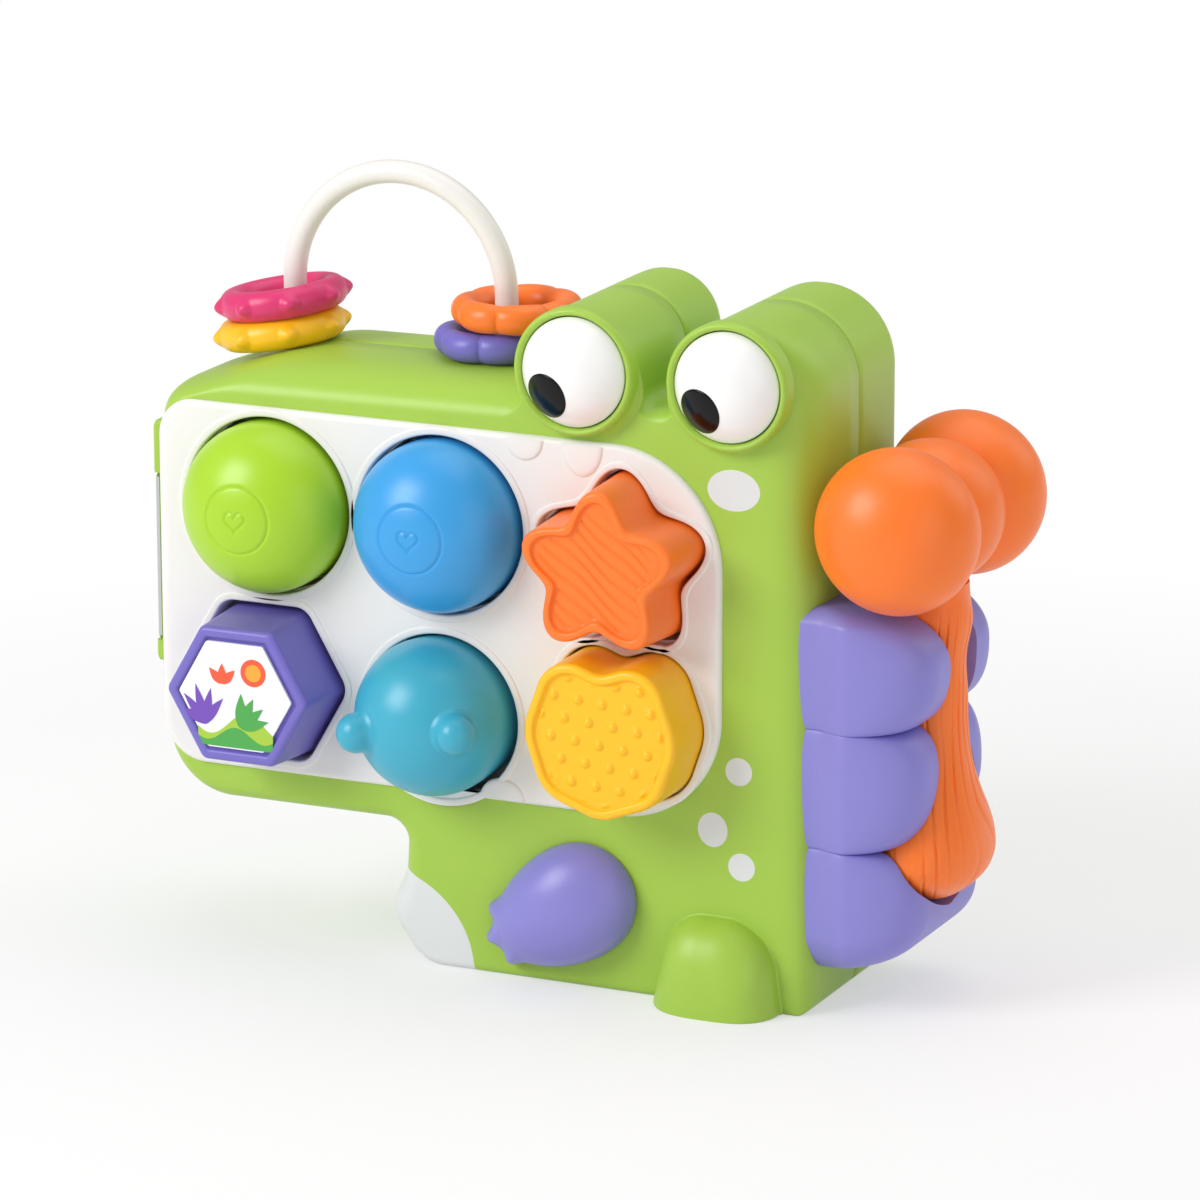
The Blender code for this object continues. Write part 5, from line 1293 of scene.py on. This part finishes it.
class SORTER_OT_small_parts(bpy.types.Operator):
    """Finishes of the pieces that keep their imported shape"""
    bl_idname = "sorter.small_parts"
    bl_label = "Small parts"

    def execute(self, context):
        colours = context.scene.sorter_colours
        nodes = frame["nodes"]
        white = plastic("white_plastic", colours.white, 0.42, 0.03)
        dress(nodes["pocket_tray"], white)
        washer = plastic("washer_plastic", colours.handle, 0.5, 0.04)
        for name in ("left_eye_retainer", "right_eye_retainer", "paw_retainer"):
            dress(nodes[name], washer)
        dress(nodes["mirror_carrier"], plastic("carrier_plastic", colours.green, 0.4, 0.05))
        dress(nodes["mirror_plate"], metal("mirror_face", (0.78, 0.80, 0.78), 0.09, 900.0))
        steel = metal("screw_steel", (0.62, 0.62, 0.62), 0.34, 2600.0)
        for number in range(1, 7):
            dress(nodes["screw_" + str(number)], steel)
        return {"FINISHED"}


# Stage

CAMERA_FOCUS = 6483.0 / 1200.0
CAMERA_PLACE = (0.7555, -1.6873, 0.6006)
CAMERA_TURN = (90 - 14.814, 0.097, 24.749)
SHADOW_FROM = 0.16
SHADOW_FADE = 0.34


def stage_white(name, keep):
    """A pale stage surface that adds its own white for the camera and reflections.

    Near the object it adds only the share to keep, so the shadow stays, and far away it is all white.
    """
    made, nodes, links, shader = new_material(name)
    shader.inputs["Base Color"].default_value = (0.9, 0.9, 0.9, 1)
    shader.inputs["Roughness"].default_value = 0.9
    shader.inputs["Specular IOR Level"].default_value = 0.0
    calc = calculator(nodes, links)
    path = nodes.new("ShaderNodeLightPath")
    seen = calc("MAXIMUM", path.outputs["Is Camera Ray"], path.outputs["Is Glossy Ray"])
    seen = calc("MAXIMUM", seen, path.outputs["Is Transmission Ray"])
    glow = nodes.new("ShaderNodeEmission")
    glow.inputs["Strength"].default_value = 1.0
    mix = nodes.new("ShaderNodeMixShader")
    place, far = nodes.new("ShaderNodeTexCoord"), nodes.new("ShaderNodeVectorMath")
    far.operation = "LENGTH"
    links.new(place.outputs["Object"], far.inputs[0])
    away = calc("DIVIDE", calc("SUBTRACT", far.outputs["Value"], SHADOW_FROM), SHADOW_FADE)
    away = calc("MINIMUM", calc("MAXIMUM", away, keep), 1.0)
    add = calc("MULTIPLY", seen, away)
    links.new(add, mix.inputs[0])
    links.new(shader.outputs[0], mix.inputs[1])
    links.new(glow.outputs[0], mix.inputs[2])
    links.new(mix.outputs[0], nodes["Material Output"].inputs["Surface"])
    return made


def area_light(name, place, target, size, power):
    """A soft square lamp that faces a point."""
    lamp = bpy.data.lights.new(name, "AREA")
    lamp.shape = "SQUARE"
    lamp.size = size
    lamp.energy = power
    item = bpy.data.objects.new(name, lamp)
    bpy.context.scene.collection.objects.link(item)
    item.location = place
    item.rotation_euler = (Vector(target) - Vector(place)).to_track_quat("-Z", "Y").to_euler()


class SORTER_OT_stage(bpy.types.Operator):
    """The floor, the lamps, the world and the camera"""
    bl_idname = "sorter.stage"
    bl_label = "Stage"

    def execute(self, context):
        lights = context.scene.sorter_lights
        form = Form()
        form.add([(-12, -12, 0), (12, -12, 0), (12, 12, 0), (-12, 12, 0)], [[0, 1, 2, 3]])
        mesh = form.mesh("floor")
        mesh.materials.append(stage_white("floor_white", lights.floor_glow))
        floor = bpy.data.objects.new("floor", mesh)
        context.scene.collection.objects.link(floor)
        aim = (-0.02, 0.0, 0.1)
        area_light("key", (-0.95, -1.15, 0.95), aim, 0.8, lights.key)
        area_light("top", (0.1, 0.25, 1.5), aim, 1.3, lights.top)
        area_light("fill", (1.2, -0.9, 0.5), aim, 1.0, lights.fill)
        area_light("rim", (0.9, 0.9, 0.9), aim, 0.9, lights.rim)
        world = bpy.data.worlds.new("studio")
        context.scene.world = world
        world.use_nodes = True
        nodes, links = world.node_tree.nodes, world.node_tree.links
        back = nodes["Background"]
        calc = calculator(nodes, links)
        path = nodes.new("ShaderNodeLightPath")
        seen = calc("MAXIMUM", path.outputs["Is Camera Ray"], path.outputs["Is Transmission Ray"])
        strength = calc("MULTIPLY", seen, 1.0 - lights.world)
        links.new(calc("ADD", strength, lights.world), back.inputs["Strength"])
        back.inputs["Color"].default_value = (1, 1, 1, 1)
        camera = bpy.data.cameras.new("camera")
        camera.sensor_width = 36.0
        camera.lens = CAMERA_FOCUS * camera.sensor_width
        camera.clip_end = 60.0
        item = bpy.data.objects.new("camera", camera)
        context.scene.collection.objects.link(item)
        item.location = CAMERA_PLACE
        item.rotation_euler = Euler([math.radians(angle) for angle in CAMERA_TURN])
        context.scene.camera = item
        context.scene.view_settings.view_transform = "Standard"
        return {"FINISHED"}


# Settings

def colour_prop(name, description, default):
    """A colour setting as the eye reads it."""
    return FloatVectorProperty(
        name=name, description=description, default=default, size=3, min=0.0, max=1.0, subtype="COLOR_GAMMA"
    )


def length_prop(name, description, default):
    """A length setting."""
    return FloatProperty(name=name, description=description, default=default, unit="LENGTH")


def power_prop(name, description, default):
    """A lamp's power setting."""
    return FloatProperty(name=name, description=description, default=default, unit="POWER")


class SorterColours(bpy.types.PropertyGroup):
    """Colours of the plastics"""
    green: colour_prop("Green", "Housing", (0.64, 0.785, 0.28))
    white: colour_prop("White", "Mouth plate and eyes", (0.93, 0.92, 0.91))
    handle: colour_prop("Handle white", "Arch handle", (0.93, 0.915, 0.895))
    lime: colour_prop("Lime", "Green dome block", (0.66, 0.83, 0.16))
    blue: colour_prop("Blue", "Blue dome block", (0.22, 0.62, 0.88))
    orange: colour_prop("Orange", "Star block, hammer and orange ring", (1.0, 0.48, 0.14))
    yellow: colour_prop("Yellow", "Heart block and yellow ring", (1.0, 0.76, 0.09))
    teal: colour_prop("Teal", "Ball block", (0.24, 0.67, 0.78))
    violet: colour_prop("Violet", "Hexagon block", (0.46, 0.42, 0.76))
    purple: colour_prop("Purple", "Bumps and paw", (0.54, 0.52, 0.82))
    ring_purple: colour_prop("Ring purple", "Purple ring", (0.45, 0.42, 0.76))
    magenta: colour_prop("Magenta", "Magenta ring", (0.86, 0.20, 0.44))
    print_grey: colour_prop("Print grey", "Printed spots and belly patch", (0.87, 0.88, 0.88))


class SorterSizes(bpy.types.PropertyGroup):
    """Sizes of the fine detail"""
    collar_width: length_prop("Collar width", "Raised band round a hole", 0.0024)
    collar_height: length_prop("Collar height", "How far the band stands out", 0.0005)
    line_depth: length_prop("Line depth", "Engraved lines on the domes", 0.0004)


class SorterLights(bpy.types.PropertyGroup):
    """Levels of the studio"""
    key: power_prop("Key", "Large lamp from the front left", 17.0)
    top: power_prop("Top", "Broad lamp from above", 7.0)
    fill: power_prop("Fill", "Weak lamp from the right", 2.5)
    rim: power_prop("Rim", "Lamp from behind", 3.0)
    world: FloatProperty(name="World", description="Level of the surrounding light", default=0.45)
    floor_glow: FloatProperty(name="Floor glow", description="Share of plain white in the floor as seen", default=0.5)


class SORTER_PT_panel(bpy.types.Panel):
    """Lists the settings and the steps of the shape sorter"""
    bl_idname = "SORTER_PT_panel"
    bl_label = "Shape sorter"
    bl_space_type = "VIEW_3D"
    bl_region_type = "UI"
    bl_category = "Shape sorter"

    def draw(self, context):
        layout = self.layout
        for step in STEPS:
            layout.operator(step.bl_idname)
        for settings in (context.scene.sorter_colours, context.scene.sorter_sizes, context.scene.sorter_lights):
            box = layout.box()
            for key in settings.__annotations__:
                box.prop(settings, key)


STEPS = (
    SORTER_OT_housing,
    SORTER_OT_mouth_plate,
    SORTER_OT_dome_blocks,
    SORTER_OT_flat_blocks,
    SORTER_OT_ball_block,
    SORTER_OT_eyes,
    SORTER_OT_arch_handle,
    SORTER_OT_rings,
    SORTER_OT_back_bumps,
    SORTER_OT_hammer,
    SORTER_OT_paw,
    SORTER_OT_small_parts,
    SORTER_OT_stage,
)
CLASSES = (SorterColours, SorterSizes, SorterLights) + STEPS + (SORTER_PT_panel,)


def register():
    """Register the settings, the steps and the panel."""
    for cls in CLASSES:
        bpy.utils.register_class(cls)
    bpy.types.Scene.sorter_colours = PointerProperty(type=SorterColours)
    bpy.types.Scene.sorter_sizes = PointerProperty(type=SorterSizes)
    bpy.types.Scene.sorter_lights = PointerProperty(type=SorterLights)


def unregister():
    """Take everything back out."""
    del bpy.types.Scene.sorter_lights
    del bpy.types.Scene.sorter_sizes
    del bpy.types.Scene.sorter_colours
    for cls in reversed(CLASSES):
        bpy.utils.unregister_class(cls)


def main():
    """Register, then build every piece in order."""
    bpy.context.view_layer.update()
    register()
    for step in STEPS:
        group, name = step.bl_idname.split(".")
        getattr(getattr(bpy.ops, group), name)()
    bpy.context.view_layer.update()


if __name__ == "__main__":
    main()
